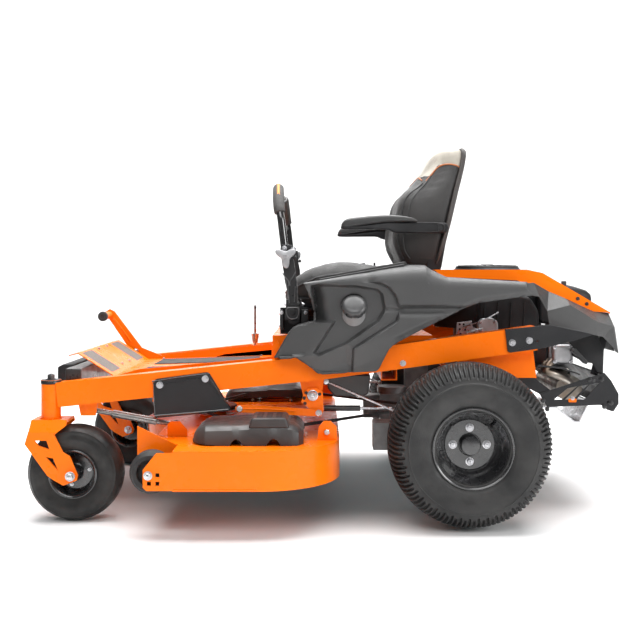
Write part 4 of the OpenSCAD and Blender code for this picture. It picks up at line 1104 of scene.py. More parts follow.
def seat_cushion():
    rings = []
    xs = [-161, -158, -150, -138, -120, -95, -60, -20, 30, 80, 130, 180, 230, 270, 290, 299, 301]
    for x in xs:
        half, low, top = cushion_section(x)
        shrink = 1.0 if -140 < x < 285 else (0.93 if -155 < x < 296 else 0.8)
        mid, tall = (low + top) / 2, (top - low) / 2 * shrink
        ring = []
        for c, s in circle(44):
            y = half * shrink * signed_power(c, 0.32)
            z = mid + tall * signed_power(s, 0.5)
            if s > 0:
                u = y / half
                z += 7 * ramp(abs(u), 0.55, 0.8) * (1 - ramp(abs(u), 0.86, 1.0)) - 10 * (1 - u * u) * ramp(x, -60,
                    40)
            ring.append((x, y, float(z)))
        rings.append(ring)
    pad = loft("seat_cushion_pad", rings, "seat", "seat_vinyl", 180)
    inflate(pad, 3.5, 13, 6, lambda p: p[:, 2] < 662)
    top = lambda x, y: (x, y, cushion_section(x)[2] + 8)
    bolsters = [[top(x, s * np.interp(x, [-150, -60, 300], [120, 138, 140])) for x in np.arange(-150, 296, 12.0)]
        for s in (-1, 1)]
    rim = []
    for s in (-1, 1):
        rim.append([(x, s * (cushion_section(x)[0] + 12), cushion_section(x)[2] - 24)
            for x in np.arange(-150, 300, 12.0)])
    front = [(-172, y, 712 - 5 * math.cos(y / 200 * math.pi / 2)) for y in np.arange(-180, 181, 20.0)]
    across = [[top(x, y) for y in np.arange(-130, 131, 13.0)] for x in (-96, -28, 40, 108, 176)]
    dent(pad, bolsters, 6, 5)
    dent(pad, rim + [front], 5, 3.5)
    dent(pad, across, 6, 3.2)
    for i, line in enumerate(rim + [front]):
        tube(f"seat_cushion_piping_{i}", onto(pad, line, 0.8), 3.0, "seat", "piping_dark", 8, 2)
    thread = "thread"
    for i, line in enumerate(bolsters):
        for k, shift in enumerate((-7, 7)):
            stitches(f"seat_cushion_stitch_{i}_{k}", pad, [(x, y + shift, z) for x, y, z in line], thread, "seat")
    subdivide(pad, 1)
    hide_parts("seat_cushion")
    # Shell under the cushion
    rings = []
    for z, grow in ((653.2, -10), (654, 0), (668, 4), (684, 6), (686, 3), (686, -8)):
        rings.append([(float(np.clip(x, -156, 300)), y, z) for x,
            y in rounded_rect(-140 - grow, 296 + grow, 206 + grow, 46)])
    loft("seat_cushion_shell", rings, "seat", "black_plastic", 40)
    return pad


def rounded_rect(x0, x1, half, r, n=7):
    out = []
    for cx, cy, a0 in ((x1 - r, half - r, 0), (x0 + r, half - r, 90), (x0 + r, -half + r, 180),
            (x1 - r, -half + r, 270)):
        out += [(cx + r * math.cos(math.radians(a0 + 90 * i / n)),
            cy + r * math.sin(math.radians(a0 + 90 * i / n))) for i in range(n + 1)]
    return out


BACK_Z = [797, 813, 835, 852, 880, 902, 940, 969, 1002, 1020, 1041, 1069, 1094, 1125, 1150, 1170, 1184, 1192]
BACK_FRONT = [234, 226, 216, 210, 207, 208, 212, 219, 226, 233, 248, 284, 306, 330, 345, 354, 361, 374]
BACK_REAR = [363, 367, 373, 377, 384, 390, 400, 407, 415, 420, 425, 433, 440, 448, 453, 457, 456, 449]
BACK_HALF = [232, 237, 240, 241, 242, 242, 241, 239, 235, 232, 228, 222, 216, 210, 204, 199, 193, 182]


def back_at(z):
    return (float(np.interp(z, BACK_Z, BACK_FRONT)), float(np.interp(z, BACK_Z, BACK_REAR)),
        float(np.interp(z, BACK_Z, BACK_HALF)))


# How squarely a face of the backrest looks forward, how far a vertex may move on to the cap's
# lower edge, and the x behind which the backrest's own rear begins
FRONT_FACING, SNAP, BACK_END = -0.55, 4.4, 452


def cap_front_z(y):
    """Height of the piping across the front of the light cap."""
    return 1096 + 6 * (1 - (y / 190) ** 2)


def cap_limit(x, y, front):
    """Height of the light cap's lower edge at a place on the backrest."""
    side_z = np.interp(x, [296, 308, 322, 334, 350, 372, 396, 420, 444, 460],
        [1084, 1092, 1101, 1112, 1125, 1135, 1137, 1133, 1125, 1120])
    return cap_front_z(y) if front else float(side_z)


def cover_top(pad):
    """Covers the backrest's top in light vinyl down to the piping."""
    mesh = pad.data
    mesh.materials.append(SURFACES["cap_vinyl"].material)
    for v in mesh.vertices:
        x, y, z = v.co.x / MM, (v.co.y - MID_Y) / MM, v.co.z / MM
        limit = cap_limit(x, y, v.normal.x < FRONT_FACING)
        if abs(z - limit) < SNAP and x < BACK_END:
            v.co.z = limit * MM
    for p in mesh.polygons:
        x, y, z = p.center.x / MM, (p.center.y - MID_Y) / MM, p.center.z / MM
        if z > cap_limit(x, y, p.normal.x < FRONT_FACING) and x < back_at(z)[1] - 3:
            p.material_index = 1


def seat_back():
    rings = []
    for z in BACK_Z:
        front, rear, half = back_at(z)
        cx, deep = (front + rear) / 2, (rear - front) / 2
        ring = []
        for c, s in circle(48):
            y = half * signed_power(s, 0.42 if c > 0 else 0.2)
            x = cx - deep * signed_power(c, 0.5 if c > 0 else 0.22)
            if c > 0:
                u = abs(y) / half
                hollow = float(np.interp(z, [797, 850, 960, 1060, 1120, 1180], [6, 20, 22, 12, 4, 0]))
                x += hollow * (1 - float(ramp(u, 0.5, 0.82)))
            ring.append((x, y, z))
        rings.append(ring)
    pad = loft("seat_back_pad", rings, "seat", "seat_vinyl", 180)
    inflate(pad, 3.5, 8, 6, lambda p: p[:, 0] > np.interp(p[:, 2], BACK_Z, BACK_REAR) - 14)
    seam_z = [812, 835, 854, 874, 895, 930, 975, 1003, 1030, 1060, 1090, 1110]
    seam_x = [262, 243, 237, 235, 235, 241, 251, 260, 273, 294, 316, 328]
    side_seam, inner_seam = [], []
    for s in (-1, 1):
        side_seam.append([(x, s * (back_at(z)[2] + 10), z) for x, z in zip(seam_x, seam_z)])
        inner_seam.append([(back_at(z)[0] - 6, s * np.interp(z, [812, 900, 1000, 1090], [128, 140, 138, 118]), z)
            for z in np.arange(812, 1092, 12.0)])
    cap_front = [(back_at(1096)[0] - 8, y, cap_front_z(y)) for y in np.arange(-196, 197, 14.0)]
    front_edge = []
    for s in (-1, 1):
        front_edge.append([(back_at(z)[0] + 4, s * (back_at(z)[2] - 8), z) for z in np.arange(808, 1090, 12.0)])
    cap_side = []
    for s in (-1, 1):
        cap_side.append([(x, s * (back_at(z)[2] + 10), z) for x, z in (
            (308, 1097), (322, 1108), (334, 1121), (350, 1133), (372, 1139), (396, 1139), (420, 1134),
            (444, 1126))])
    ribs = [[(back_at(z)[0] - 4, y, z) for y in np.arange(-120, 121, 12.0)] for z in (850, 900, 950, 1000, 1046)]
    dent(pad, side_seam + inner_seam + front_edge, 5, 4.5)
    dent(pad, cap_side + [cap_front], 5, 3.5)
    dent(pad, ribs, 6, 3)
    piping = "piping_orange"
    tube("seat_back_piping_front", onto(pad, cap_front, 0.6), 2.6, "seat", piping, 8, 2)
    for i, (seam, cap) in enumerate(zip(side_seam, cap_side)):
        tube(f"seat_back_piping_cap_{i}", onto(pad, cap, 0.8), 2.6, "seat", piping, 8, 2)
        for k, line in enumerate((seam, front_edge[i])):
            tube(f"seat_back_piping_side_{i}_{k}", onto(pad, line, 0.6), 2.4, "seat", "piping_dark", 8, 2)
    for i, line in enumerate(inner_seam):
        for k, shift in enumerate((-7, 7)):
            stitches(f"seat_back_stitch_{i}_{k}", pad, [(x, y + shift, z) for x, y, z in line], "thread", "seat")
    stitches("seat_back_stitch_cap", pad, [(x, y, z + 8) for x, y, z in cap_front], "thread", "seat")
    subdivide(pad, 1)
    cover_top(pad)
    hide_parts("seat_back")
    # Hard shell on the rear face
    rings = []
    for z in [*np.arange(799, 1176, 14.0), 1180, 1188, 1191]:
        front, rear, half = back_at(z)
        ring = []
        for i in range(33):
            u = -1 + 2 * i / 32
            wrap = max(0.0, (abs(u) - 0.94) / 0.06)
            ring.append((rear + 5 - 16 * wrap**1.5, math.copysign(min(abs(u), 0.985) / 0.985, u) * (half + 3.5), z))
        rings.append(ring)
    shell = loft("seat_back_shell", rings, "seat", "shell_plastic", 40, caps=False, closed=False)
    sheet(shell, 4)
    edge = [(back_at(z)[1] - 9, -back_at(z)[2] - 3, z) for z in np.arange(800, 1181, 20.0)]
    over = [(back_at(1190)[1] - 2, y, 1191) for y in np.linspace(-178, 178, 15)]
    rim = edge + over + [(x, -y, z) for x, y, z in reversed(edge)]
    tube("seat_shell_edge", rim, 3.2, "seat", "shell_plastic", 8, 2)


ARM_Y = 288


def armrest(side, word):
    body = f"{word}_arm"
    # Padded top
    rings = []
    for x in (36, 38.5, 44, 56, 75, 100, 130, 165, 200, 230, 255, 272, 281, 285):
        top = np.interp(x, [36, 44, 56, 89, 130, 162, 200, 254, 272, 285],
            [928, 941, 948, 952, 956, 958.5, 959, 954, 948, 941])
        low = np.interp(x, [36, 60, 105, 162, 220, 285], [917, 914.5, 922, 931, 935, 936])
        half = np.interp(x, [36, 38.5, 44, 60, 230, 272, 285], [11, 18, 23, 27.2, 27.2, 23, 15])
        ring = []
        for c, s in circle(28):
            p = 0.55 if s > 0 else 0.3
            ring.append((x, side * ARM_Y + half * signed_power(c, 0.6),
                (top + low) / 2 + (top - low) / 2 * signed_power(s, p)))
        rings.append(ring)
    pad = loft(f"{word}_armrest_pad", rings, body, "arm_vinyl", 180)
    pad = subdivide(pad, 1)
    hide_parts(f"{word}_armrest")
    for k in (-1, 1):
        seam = []
        for x in np.arange(46, 280, 12.0):
            z = np.interp(x, [46, 60, 105, 162, 220, 280], [923, 922, 929, 938.5, 942, 941])
            half = np.interp(x, [36, 44, 60, 230, 272, 285], [17, 23, 27.2, 27.2, 23, 15])
            seam.append((x, side * ARM_Y + k * (half + 0.2), z))
        tube(f"{word}_armrest_seam_{'in' if k == -side else 'out'}", seam, 1.1, body, "piping_dark", 8, 2,
            slot="black_plastic")
    # Moulded carrier under it, with a deeper channel and the arm back to the pivot
    rings = []
    for x, low, top, half in ((35, 917, 921, 8), (37, 914, 923, 15), (42, 912, 923, 21), (56, 911, 921, 24.5),
            (80, 911, 921, 25),
                              (120, 911.5, 925, 24), (180, 911.5, 933, 22), (192, 910, 935, 20),
                              (204, 904, 935.6, 17),
                              (216, 900.5, 935.6, 15), (300, 900.5, 935.8, 12.5), (350, 901, 935.8, 11.5),
                              (368, 903, 935, 11),
                              (376, 908, 931, 10)):
        y_mid = side * np.interp(x, [175, 260, 376], [ARM_Y, 283, 272])
        ring = []
        for c, s in circle(24):
            ring.append((x, y_mid + half * signed_power(c, 0.35),
                (top + low) / 2 + (top - low) / 2 * signed_power(s, 0.4)))
        rings.append(ring)
    loft(f"{word}_armrest_carrier", rings, body, "black_plastic", 50)
    recess = [(226, 906), (236, 903.5), (346, 903.5), (352, 908), (352, 929), (346, 932.5), (236, 932.5),
        (226, 928)]
    at = side * 283.5 + side * 12.2
    lip = [(x, at - side * 1.5 - side * 0.012 * (x - 226), z) for x, z in recess + recess[:1]]
    tube(f"{word}_armrest_rib", lip, 1.3, body, "black_plastic", 8, 3)
    turned(f"{word}_armrest_boss", (364, side * 279, 919), (0, side, 0),
        [(12.6, -20), (13, 4), (11.5, 6), (8, 6.4), (7.2, 4.6), (0, 4.6)], body, "black_plastic", 32)
    turned(f"{word}_armrest_post", (372, side * 242, 918), (0, side, 0), [(17.6, 0), (18, 2), (18, 30), (15, 34)],
        body, "black_paint", 32)


# ---------------------------------------------------------------- steering levers

LEVER_Y = 335


def lever(side, word):
    body = f"{word}_lever"
    y = side * LEVER_Y
    black, zinc = "satin_black", "zinc_steel"
    # Lower arm: two plates joined by a light-edged knuckle; the light edges are lighter metal tubes, a painted
    # highlight
    plate = [(-133, 671), (-103.5, 671), (-103, 690), (-110, 742), (-112, 780), (-118, 812), (-121, 858),
        (-158, 861), (-161, 840), (-156, 806), (-150, 772), (-146, 742), (-139, 712), (-134.5, 694)]
    for k, (a, b) in enumerate(((8.5, 13.5), (-13.5, -8.5))):
        prism(f"{word}_lever_plate_{k}", plate, y + a, y + b, body, black, 1.2)
    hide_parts(f"{word}_lap_bar")
    spine = [(-131, 668), (-110, 668), (-118, 745), (-122, 800), (-126, 855), (-148, 856), (-148, 806), (-142, 770),
        (-138, 742)]
    prism(f"{word}_lever_spine", spine, y - 8.4, y + 8.4, body, "black_paint", 3)
    out = y + side * 13.6
    # Light tubes along the plate edges are a painted highlight
    for k, line in enumerate((
        [(-153, 770), (-146, 757), (-136, 746), (-134, 738), (-134, 728)],
        [(-112, 772), (-120, 757), (-128, 746), (-130, 738), (-130, 728)],
        [(-144, 748), (-138.5, 716), (-133.5, 694), (-131.5, 673)],
        [(-108, 748), (-106, 716), (-105, 690), (-105, 673)],
        [(-135, 730), (-135, 700), (-132, 676)],
        [(-112, 726), (-113, 700), (-115, 676)],
    )):
        tube(f"{word}_lever_edge_{k}", [(x, out, z) for x, z in line], 1.7, body, "worn_edge", 8, 3)
    turned(f"{word}_lever_hinge", (-136, y, 668), (1, 0, 0), [(10, 0), (11.8, 1.2), (11.8, 34), (10, 35.5)], body,
        black, 32)
    box_piece(f"{word}_lever_stop", (-158, -146), (y - 9, y + 9), (846, 872), body, black, 2)
    for k, (x, z) in enumerate(((-147.5, 848), (-118, 846))):
        hex_bolt(f"{word}_lever_bolt_{k}", (x, y + side * 13.5, z), (0, side, 0), 6.5, body, zinc, 4)
    turned(f"{word}_lever_pin", (-113, y - side * 16, 818), (0, side, 0),
        [(4, 0), (4, 30), (6, 30.5), (6.4, 34), (4, 36)], body, black, 20)
    # Gloss tube and foam grip, bent in towards the seat
    handle = smooth_path([(-148, y, 856), (-154, y, 905), (-159, y, 946), (-165, y - side * 10, 978),
        (-168, y - side * 38, 1008), (-170, y - side * 74, 1034), (-172, y - side * 110, 1054)], 10)
    loft(f"{word}_lever_tube", tube_rings(handle, 12.6, 24), body, "gloss_black", 50)
    grip_line = smooth_path([(-161.5, y - side * 3, 962), (-165, y - side * 10, 978), (-168, y - side * 38, 1008),
        (-170, y - side * 74, 1034), (-172, y - side * 112, 1055)], 14)
    n = len(grip_line)
    radii = []
    for i in range(n):
        t = i / (n - 1)
        r = 18.6 - 1.2 * math.cos(t * TAU) * 0.4
        r *= min(1.0, math.sqrt(max(0.0, 1 - ((0.04 - t) / 0.04) ** 2)) if t < 0.04 else 1.0) if t > 0 else 0.68
        if t > 0.93:
            r *= math.sqrt(max(0.05, 1 - ((t - 0.93) / 0.07) ** 2))
        radii.append(max(r, 3.0))
    loft(f"{word}_lever_grip", tube_rings(grip_line, radii, 28), body, "grip_foam", 60)
    stripe = [p + Vector((-0.2, side * 8, 16.9)) for p in grip_line[int(n * 0.45):int(n * 0.93)]]
    verts = []
    for i, p in enumerate(stripe):
        for dx in (-4.5, -1.5, 1.5, 4.5):
            verts.append((p.x + dx, p.y, p.z - 0.02 * dx * dx))
    tag = mesh_object(f"{word}_grip_stripe", verts, ring_faces(len(stripe), 4, closed=False), body, "orange_rubber",
        60)
    sheet(tag, 1.6, 0)
    # Three-lobed clamp knob
    at = Vector((-142.5, y + side * 14, 822))
    rings = []
    for h, grow in ((2, -3), (3.5, 0), (10, 0.6), (13, -1), (14, -5)):
        ring = []
        for i in range(72):
            t = TAU * i / 72
            lobe = 0.5 + 0.5 * math.cos(3 * (t + math.radians(88)))
            r = 15.5 + 21 * lobe ** 1.7 + grow
            ring.append(at + Vector((r * math.cos(t), side * h, r * math.sin(t) * 1.05)))
        rings.append(ring)
    loft(f"{word}_clamp_knob", rings, body, "silver_plastic", 50)
    turned(f"{word}_clamp_boss", at + Vector((0, side * 13, 0)), (0, side, 0),
        [(8.5, 0), (8.5, 2.4), (7, 3.4), (5.6, 3.4), (5.2, 1.6), (0, 1.6)], body, "silver_plastic", 32)


def lever_base(side, word):
    body = f"{word}_lever_base"
    y = side * LEVER_Y
    zinc, black = "zinc_steel", "satin_black"
    out = side * 352.6
    cheek = [(-146, 620), (-98, 620), (-96, 648), (-101, 661), (-139, 661), (-145, 650)]
    prism(f"{word}_pivot_cheek", cheek, out, out + side * 3.4, body, black, 1)
    # Light tubes along the cheek's edges are a painted highlight
    edge = out + side * 3.2
    for k, line in enumerate((
        [(-137, 658), (-104, 658), (-100, 648), (-105, 628), (-116, 622)],
        [(-137, 658), (-141, 648), (-136, 630), (-126, 622), (-116, 622)],
    )):
        tube(f"{word}_pivot_edge_{k}", [(x, edge, z) for x, z in line], 1.7, body, "worn_edge", 8, 3)
    turned(f"{word}_pivot_cap", (-121, out + side * 1, 643), (0, side, 0),
        [(10.5, 0), (10.5, 2.6), (9, 3.6), (4, 3.8), (0, 3.8)], body, "black_plastic", 28, slot="black_paint")
    for k, x in enumerate((-142.5, -91.5)):
        way = -1 if k == 0 else 1
        turned(f"{word}_hinge_nut_{k}", (x, y, 668), (way, 0, 0),
            [(6.4, 0), (6.4, 4.5), (5, 5.4), (3, 5.6), (3, 8)], body, zinc, 6)
    # Stop plates of the bracket and their bolts, on the chassis
    for k, (x0, x1, z0, z1) in enumerate(((-162, -151, 588, 650), (-93, -70, 590, 653))):
        prism(f"{word}_bracket_plate_{k}", rect(x0, x1, z0, z1), side * 321.5, side * 350, "chassis", black, 2)
    for k, (x, z) in enumerate(((-156.5, 642), (-77, 596), (-79, 642))):
        hex_bolt(f"{word}_bracket_bolt_{k}", (x, side * 350, z), (0, side, 0), 4.6, "chassis", zinc, 3.5)
    for k, z in enumerate((600, 640)):
        turned(f"{word}_bracket_nut_{k}", (-162, side * 336, z), (-1, 0, 0),
            [(5.4, 0), (5.4, 4.5), (3, 4.8), (3, 8)], "chassis", zinc, 6)


seat_cushion()
seat_back()
both(armrest)
both(lever)
both(lever_base)


# ---------------------------------------------------------------- front, deck and lift


def caster_trim(side, word):
    body = f"{word}_caster"
    x, y = -874, side * 421
    cap = [(31.4, -0.2), (31.4, 9.6), (30, 11.4), (24, 12), (17, 12.2), (17, 13.6), (10, 13.8)]
    turned(f"{word}_kingpin_cap", (x, y, 424.6), (0, 0, 1), cap, body, "satin_black", 48)
    hex_bolt(f"{word}_kingpin_bolt", (x, y, 437), (0, 0, 1), 12.6, body, "dark_steel", 13)
    collar = [(30, 0), (34, 0.4), (35, 1.4), (35, 2.4)]
    turned(f"{word}_fork_collar", (x, y, 316), (0, 0, 1), collar, body, "orange_paint", 48)
    # Bead of weld where the kingpin tube meets the rail
    tube(f"{word}_rail_weld", [(-845.5, side * 444, z) for z in np.arange(356, 421, 6.0)], 2.0, "chassis",
        "orange_paint", 8, 1)


def front_parts():
    black, zinc = "satin_black", "zinc_steel"
    # Housing across the front between the rails, and the beam behind it
    outline = [(-889, 397), (-836, 397), (-836, 470), (-870, 472), (-889, 462)]
    box = prism("front_housing", outline, -300, 300, "chassis", "black_plastic", 4)
    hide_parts("front_beam")
    prism("front_crossbeam", rect(-838, -787, 392, 467), -394.6, 394.6, "chassis", black, 4)
    for k in range(6):
        y = -250 + 100 * k
        prism(f"front_vent_{k}", rect(-890.5, -888, 414, 452), y - 32, y + 32, "chassis", "cover_plastic", 1)
    # Non-slip pads on the toe board, then ribbed mats on the floor
    root, way = Vector((-705, 0, 434.6)), Vector((-117, 0, 74)).normalized()
    up = Vector((74, 0, 117)).normalized()
    first = None
    for k, (y0, y1) in enumerate(((-270, -138), (138, 270))):
        ring = rounded_rect(14, 134, (y1 - y0) / 2, 9)
        layers = []
        for h, shrink in ((-2.8, 0), (-0.6, 0), (0.2, 1.2), (0.3, 3.5)):
            layers.append([root + way * (74 + (x - 74) * (1 - shrink / 60)) + up * h
                + Vector((0, (y0 + y1) / 2 + y * (1 - shrink / 66), 0)) for x, y in ring])
        pad = loft(f"toe_grip_{k}", layers, "chassis", "toe_tape", 30)
        first = first or pad
    for k, (y0, y1) in enumerate(((-245, -55), (55, 245))):
        rows = []
        for i in range(95):
            x = -262 - 4.0 * i
            z = 448.3 + (x + 260) * (448.3 - 436.6) / 380 + 2.6
            rows.append([(x, y0, z - 2.2), (x, y0 + 2, z + (0.9 if i % 2 else -0.3)),
                (x, y1 - 2, z + (0.9 if i % 2 else -0.3)), (x, y1, z - 2.2)])
        loft(f"floor_mat_{k}", rows, "chassis", "black_rubber", 20, closed=False, caps=False)
    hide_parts("foot_grips")
    for k, (x, y) in enumerate(((-730, -60), (-730, 60), (-812, -60), (-812, 60), (-260, -272), (-260, 272),
            (-640, -272), (-640, 272))):
        if x < -705:
            t = (x + 705) / way.x
            hex_bolt(f"floor_bolt_{k}", root + way * t + Vector((0, y, 0)) - up * 0.4, up, 5, "chassis", zinc, 2.5)
        else:
            hex_bolt(f"floor_bolt_{k}", (x, y, 448.3 + (x + 260) * 0.031 - 0.6), (0, 0, 1), 5, "chassis", zinc, 2.5)
    # Pedal cap and pivot bolt
    turned("pedal_cap", (-864, 216, 604), (0, -1, 0), [(18.4, -10), (18.6, 2), (17.4, 5), (12, 6.4), (9, 6.2),
        (8.4, 4.4), (0, 4.2)], "pedal", "black_rubber", 36)
    hex_bolt("pedal_pivot_bolt", (-759, 319, 462), (0, -1, 0), 9, "pedal", zinc, 5)
    tube("pedal_rib", [(-846, 322, 592), (-812, 322, 548), (-778, 322, 500)], 3.0, "pedal", "orange_paint", 10, 4)


def belt_cover(side, word):
    """A moulded lid with a raised middle, and its posts and bolts."""
    rings = []
    xs = [-412, -410, -404, -392, -372, -340, -300, -293, -287, -280, -273, -267, -262, -250, -244, -238, -210,
        -192, -187, -179, -170, -161, -153, -148, -132, -126, -120, -112, -98, -90, -86, -84.5]
    for x in xs:
        crown = np.interp(x, [-412, -409, -392, -372, -300, -262, -244, -238, -132, -126, -112, -98, -84.5],
            [272, 290, 303, 311, 313, 315, 316, 327, 327, 317, 314, 306, 292])
        foot = np.interp(x, [-412, -396, -330, -84.5], [268, 264, 259.5, 259.5])
        scallop = 19 * max(0.0, math.cos((x + 280) / 20 * math.pi / 2)) if abs(x + 280) < 20 else 0
        scallop += 21 * max(0.0, math.cos((x + 170) / 22 * math.pi / 2)) if abs(x + 170) < 22 else 0
        out = np.interp(x, [-412, -404, -380, -120, -98, -84.5], [540, 562, 588, 589.5, 582, 556])
        inn = np.interp(x, [-412, -400, -380, -98, -84.5], [370, 350, 338, 338, 350])
        bulge = 1.0 if -244 < x < -126 else 0.0
        rings.append([(x, side * y, z) for y, z in (
            (out, foot + scallop), (out - 1.5, foot + scallop + 0.34 * (crown - foot - scallop)),
            (out - 9, crown - 12 - 8 * bulge),
            (out - 20, crown - 3.5 - 9 * bulge), (out - 31, crown - 0.4 - 8 * bulge),
            (out - 38, crown - 1.5 * bulge), (out - 60, crown),
            (inn + 50, crown), (inn + 34, crown - 1.5 * bulge), (inn + 26, crown - 0.4 - 8 * bulge),
            (inn + 12, crown - 3.5 - 9 * bulge),
            (inn + 4, crown - 12 - 8 * bulge), (inn, foot + 0.3 * (crown - foot)))])
    lid = loft(f"{word}_belt_cover", rings, "deck", "cover_plastic", 30, closed=False, caps=False)
    sheet(lid, 3, -side)
    soften(lid, 1.2, 2, 28)
    if side < 0:
        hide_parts("belt_covers")
    raised = [(-246, 308), (-237, 337), (-230, 340), (-138, 340), (-131, 337), (-122, 308)]
    prism(f"{word}_cover_box", raised, side * 582, side * 452, "deck", "cover_plastic", 7)
    # Black plates mark the notches on the raised box: painted shade
    for k, x in enumerate((-212, -184, -156)):
        prism(f"{word}_cover_notch_shade_{k}", rect(x - 9, x + 9, 338, 341.6), side * 566, side * 476, "deck",
            "black_plastic", 1.4)
    for k, (x, y) in enumerate(((-310, -575), (-222, -575), (-146, -575), (-300, -352), (-150, -352))):
        hex_bolt(f"{word}_cover_bolt_{k}", (x, -side * y, 262.2), (0, 0, 1), 6, "deck", "zinc_steel", 6)
        turned(f"{word}_cover_post_{k}", (x, -side * y, 258.2), (0, 0, 1), [(9, 0), (9, 3), (7, 4.2), (3, 4.4)],
            "deck", "cover_plastic", 20)


def deck_hardware(side, word):
    """Bolts of the lift ear, the gauge wheel, the cross shaft and the drag bar."""
    zinc, orange = "zinc_steel", "orange_paint"
    hex_bolt(f"{word}_ear_bolt", (-12, side * 494, 284), (0, side, 0), 9, "deck", zinc, 6)
    turned(f"{word}_ear_washer", (-12, side * 493.6, 284), (0, side, 0), [(15, 0), (15, 2), (13, 2.6), (8, 2.6)],
        "deck", orange, 28)
    turned(f"{word}_gauge_washer", (-524, side * 672.6, 190), (0, side, 0), [(12.8, 0), (12.8, 2.6), (8, 2.9)],
        "deck", zinc, 28)
    hex_bolt(f"{word}_gauge_bolt", (-524, side * 674.8, 190), (0, side, 0), 9.8, "deck", zinc, 6.6)
    hex_bolt(f"{word}_shaft_bolt", (-56, side * 439, 387), (0, side, 0), 8.5, "cranks", zinc, 4)
    turned(f"{word}_shaft_ring", (-56, side * 430, 387), (0, side, 0),
        [(17, 0), (17, 2.6), (15.4, 3.4), (12.6, 3.4)], "cranks", zinc, 32)
    # Black discs stand in for the crank's holes: painted shade
    for k, (x, z) in enumerate(((-76, 395), (-82, 379), (-80, 362), (-34, 391))):
        turned(f"{word}_crank_hole_shade_{k}", (x, side * 429.6, z), (0, side, 0),
            [(5.4, 0), (5.4, 1.0), (4.6, 1.2), (0, 0.8)], "cranks", "black_plastic", 20, slot="orange_paint")
    hex_bolt(f"{word}_drag_bolt_rear", (-37, side * 441, 334), (0, side, 0), 7.5, "drag_bars", zinc, 4)
    turned(f"{word}_drag_bolt_front", (-283, side * 441, 347), (0, side, 0), [(9.5, 0), (9.5, 3.4), (8.2, 4.5)],
        "drag_bars", zinc, 24)
    tube(f"{word}_drag_rib", [(-272, side * 441, 347), (-200, side * 441, 346), (-110, side * 441, 340)], 2.2,
        "drag_bars", orange, 8, 4)
    # Rolled hem along the deck's skirt
    tube(f"{word}_skirt_hem", [(-452, side * 673.3, 149), (-330, side * 673.3, 149), (-216, side * 673.3, 149)],
        2.4, "deck", orange, 8, 8)


def under_tank(side, word):
    """Underside of the tank and the rods behind the deck."""
    zinc = "zinc_steel"
    prism(f"{word}_tank_belly", [(-16, 446), (128, 446), (122, 384), (92, 374), (12, 378), (-8, 400)], side * 376,
        side * 268, "chassis", "grey_plastic", 6)
    rod_path = [(-14, side * 372, 424), (60, side * 376, 392), (206, side * 384, 330)]
    tube(f"{word}_control_rod", rod_path, 3.6, "chassis", zinc, 10, 6)
    for k, p in enumerate((rod_path[0], rod_path[-1])):
        turned(f"{word}_control_eye_{k}", (p[0], p[1] - side * 6, p[2]), (0, side, 0),
            [(4, 0), (8.5, 0.5), (9, 3), (9, 9), (8.5, 11.5), (4, 12)], "chassis", zinc, 24)
    tube(f"{word}_damper", [(-20, side * 352, 336), (96, side * 352, 336)], 9.5, "chassis", "satin_black", 20, 4)
    tube(f"{word}_damper_rod", [(92, side * 352, 336), (196, side * 352, 336)], 5.2, "chassis", zinc, 16, 4)


def deck_side(side, word):
    for make in (belt_cover, deck_hardware, under_tank):
        make(side, word)


def step_lip(side, word):
    path = [(-546, side * 449.6, 326), (-430, side * 449.6, 335.5), (-316, side * 449.6, 346)]
    tube(f"{word}_step_lip", path, 3.2, "chassis", "gloss_black", 12, 8)
    edge = [(-546, 332), (-550, 424), (-541, 437), (-390, 458), (-374, 452), (-366, 438), (-308, 351)]
    tube(f"{word}_step_hem", [(x + (2 if x < -500 else -2), side * 450.4, z - (2 if z > 430 else 0)) for x,
        z in edge], 1.5, "chassis", "gloss_black", 8, 3)


both(caster_trim)
front_parts()
both(deck_side)
both(step_lip)


# ---------------------------------------------------------------- engine and rear


# The blower's shaft
SHAFT_X = 566


def engine_middle():
    """The air cleaner and the shroud between blower and rear cover."""
    # Rounded air cleaner behind the trim, on its duct
    box = []
    for x, grow in ((796, -10), (799, -3), (806, 0), (852, 0), (894, -4), (908, -12), (912, -22)):
        ring = []
        for c, s in circle(36):
            ring.append((x, (118 + grow) * signed_power(c, 0.3),
                692 - 0.22 * (x - 806) + (42 + grow) * signed_power(s, 0.4)))
        box.append(ring)
    cleaner = loft("air_cleaner_box", box, "chassis", "black_plastic", 40)
    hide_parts("air_cleaner")
    for k, y in enumerate((-104, 104)):
        box_piece(f"cleaner_clip_{k}", (806, 822), (y - 8, y + 8), (722, 742), "chassis", "cover_plastic", 3)
    # Shroud that fills the space between blower and rear cover
    shroud = [(716, 600), (812, 590), (812, 708), (740, 742), (716, 742)]
    prism("engine_shroud", shroud, -168, 168, "chassis", "black_plastic", 10)


def blower_side(side, word):
    """The blower's side with its ribs."""
    side_shroud = [(486, 566), (700, 566), (700, 640), (668, 690), (600, 706), (500, 690)]
    prism(f"{word}_blower_side", side_shroud, side * 176, side * 232, "chassis", "black_plastic", 14)
    for k in range(4):
        tube(f"{word}_blower_rib_{k}", [(512 + 44 * k, side * 233, 580), (516 + 44 * k, side * 233, 672)], 2.6,
            "chassis", "black_plastic", 8, 3)


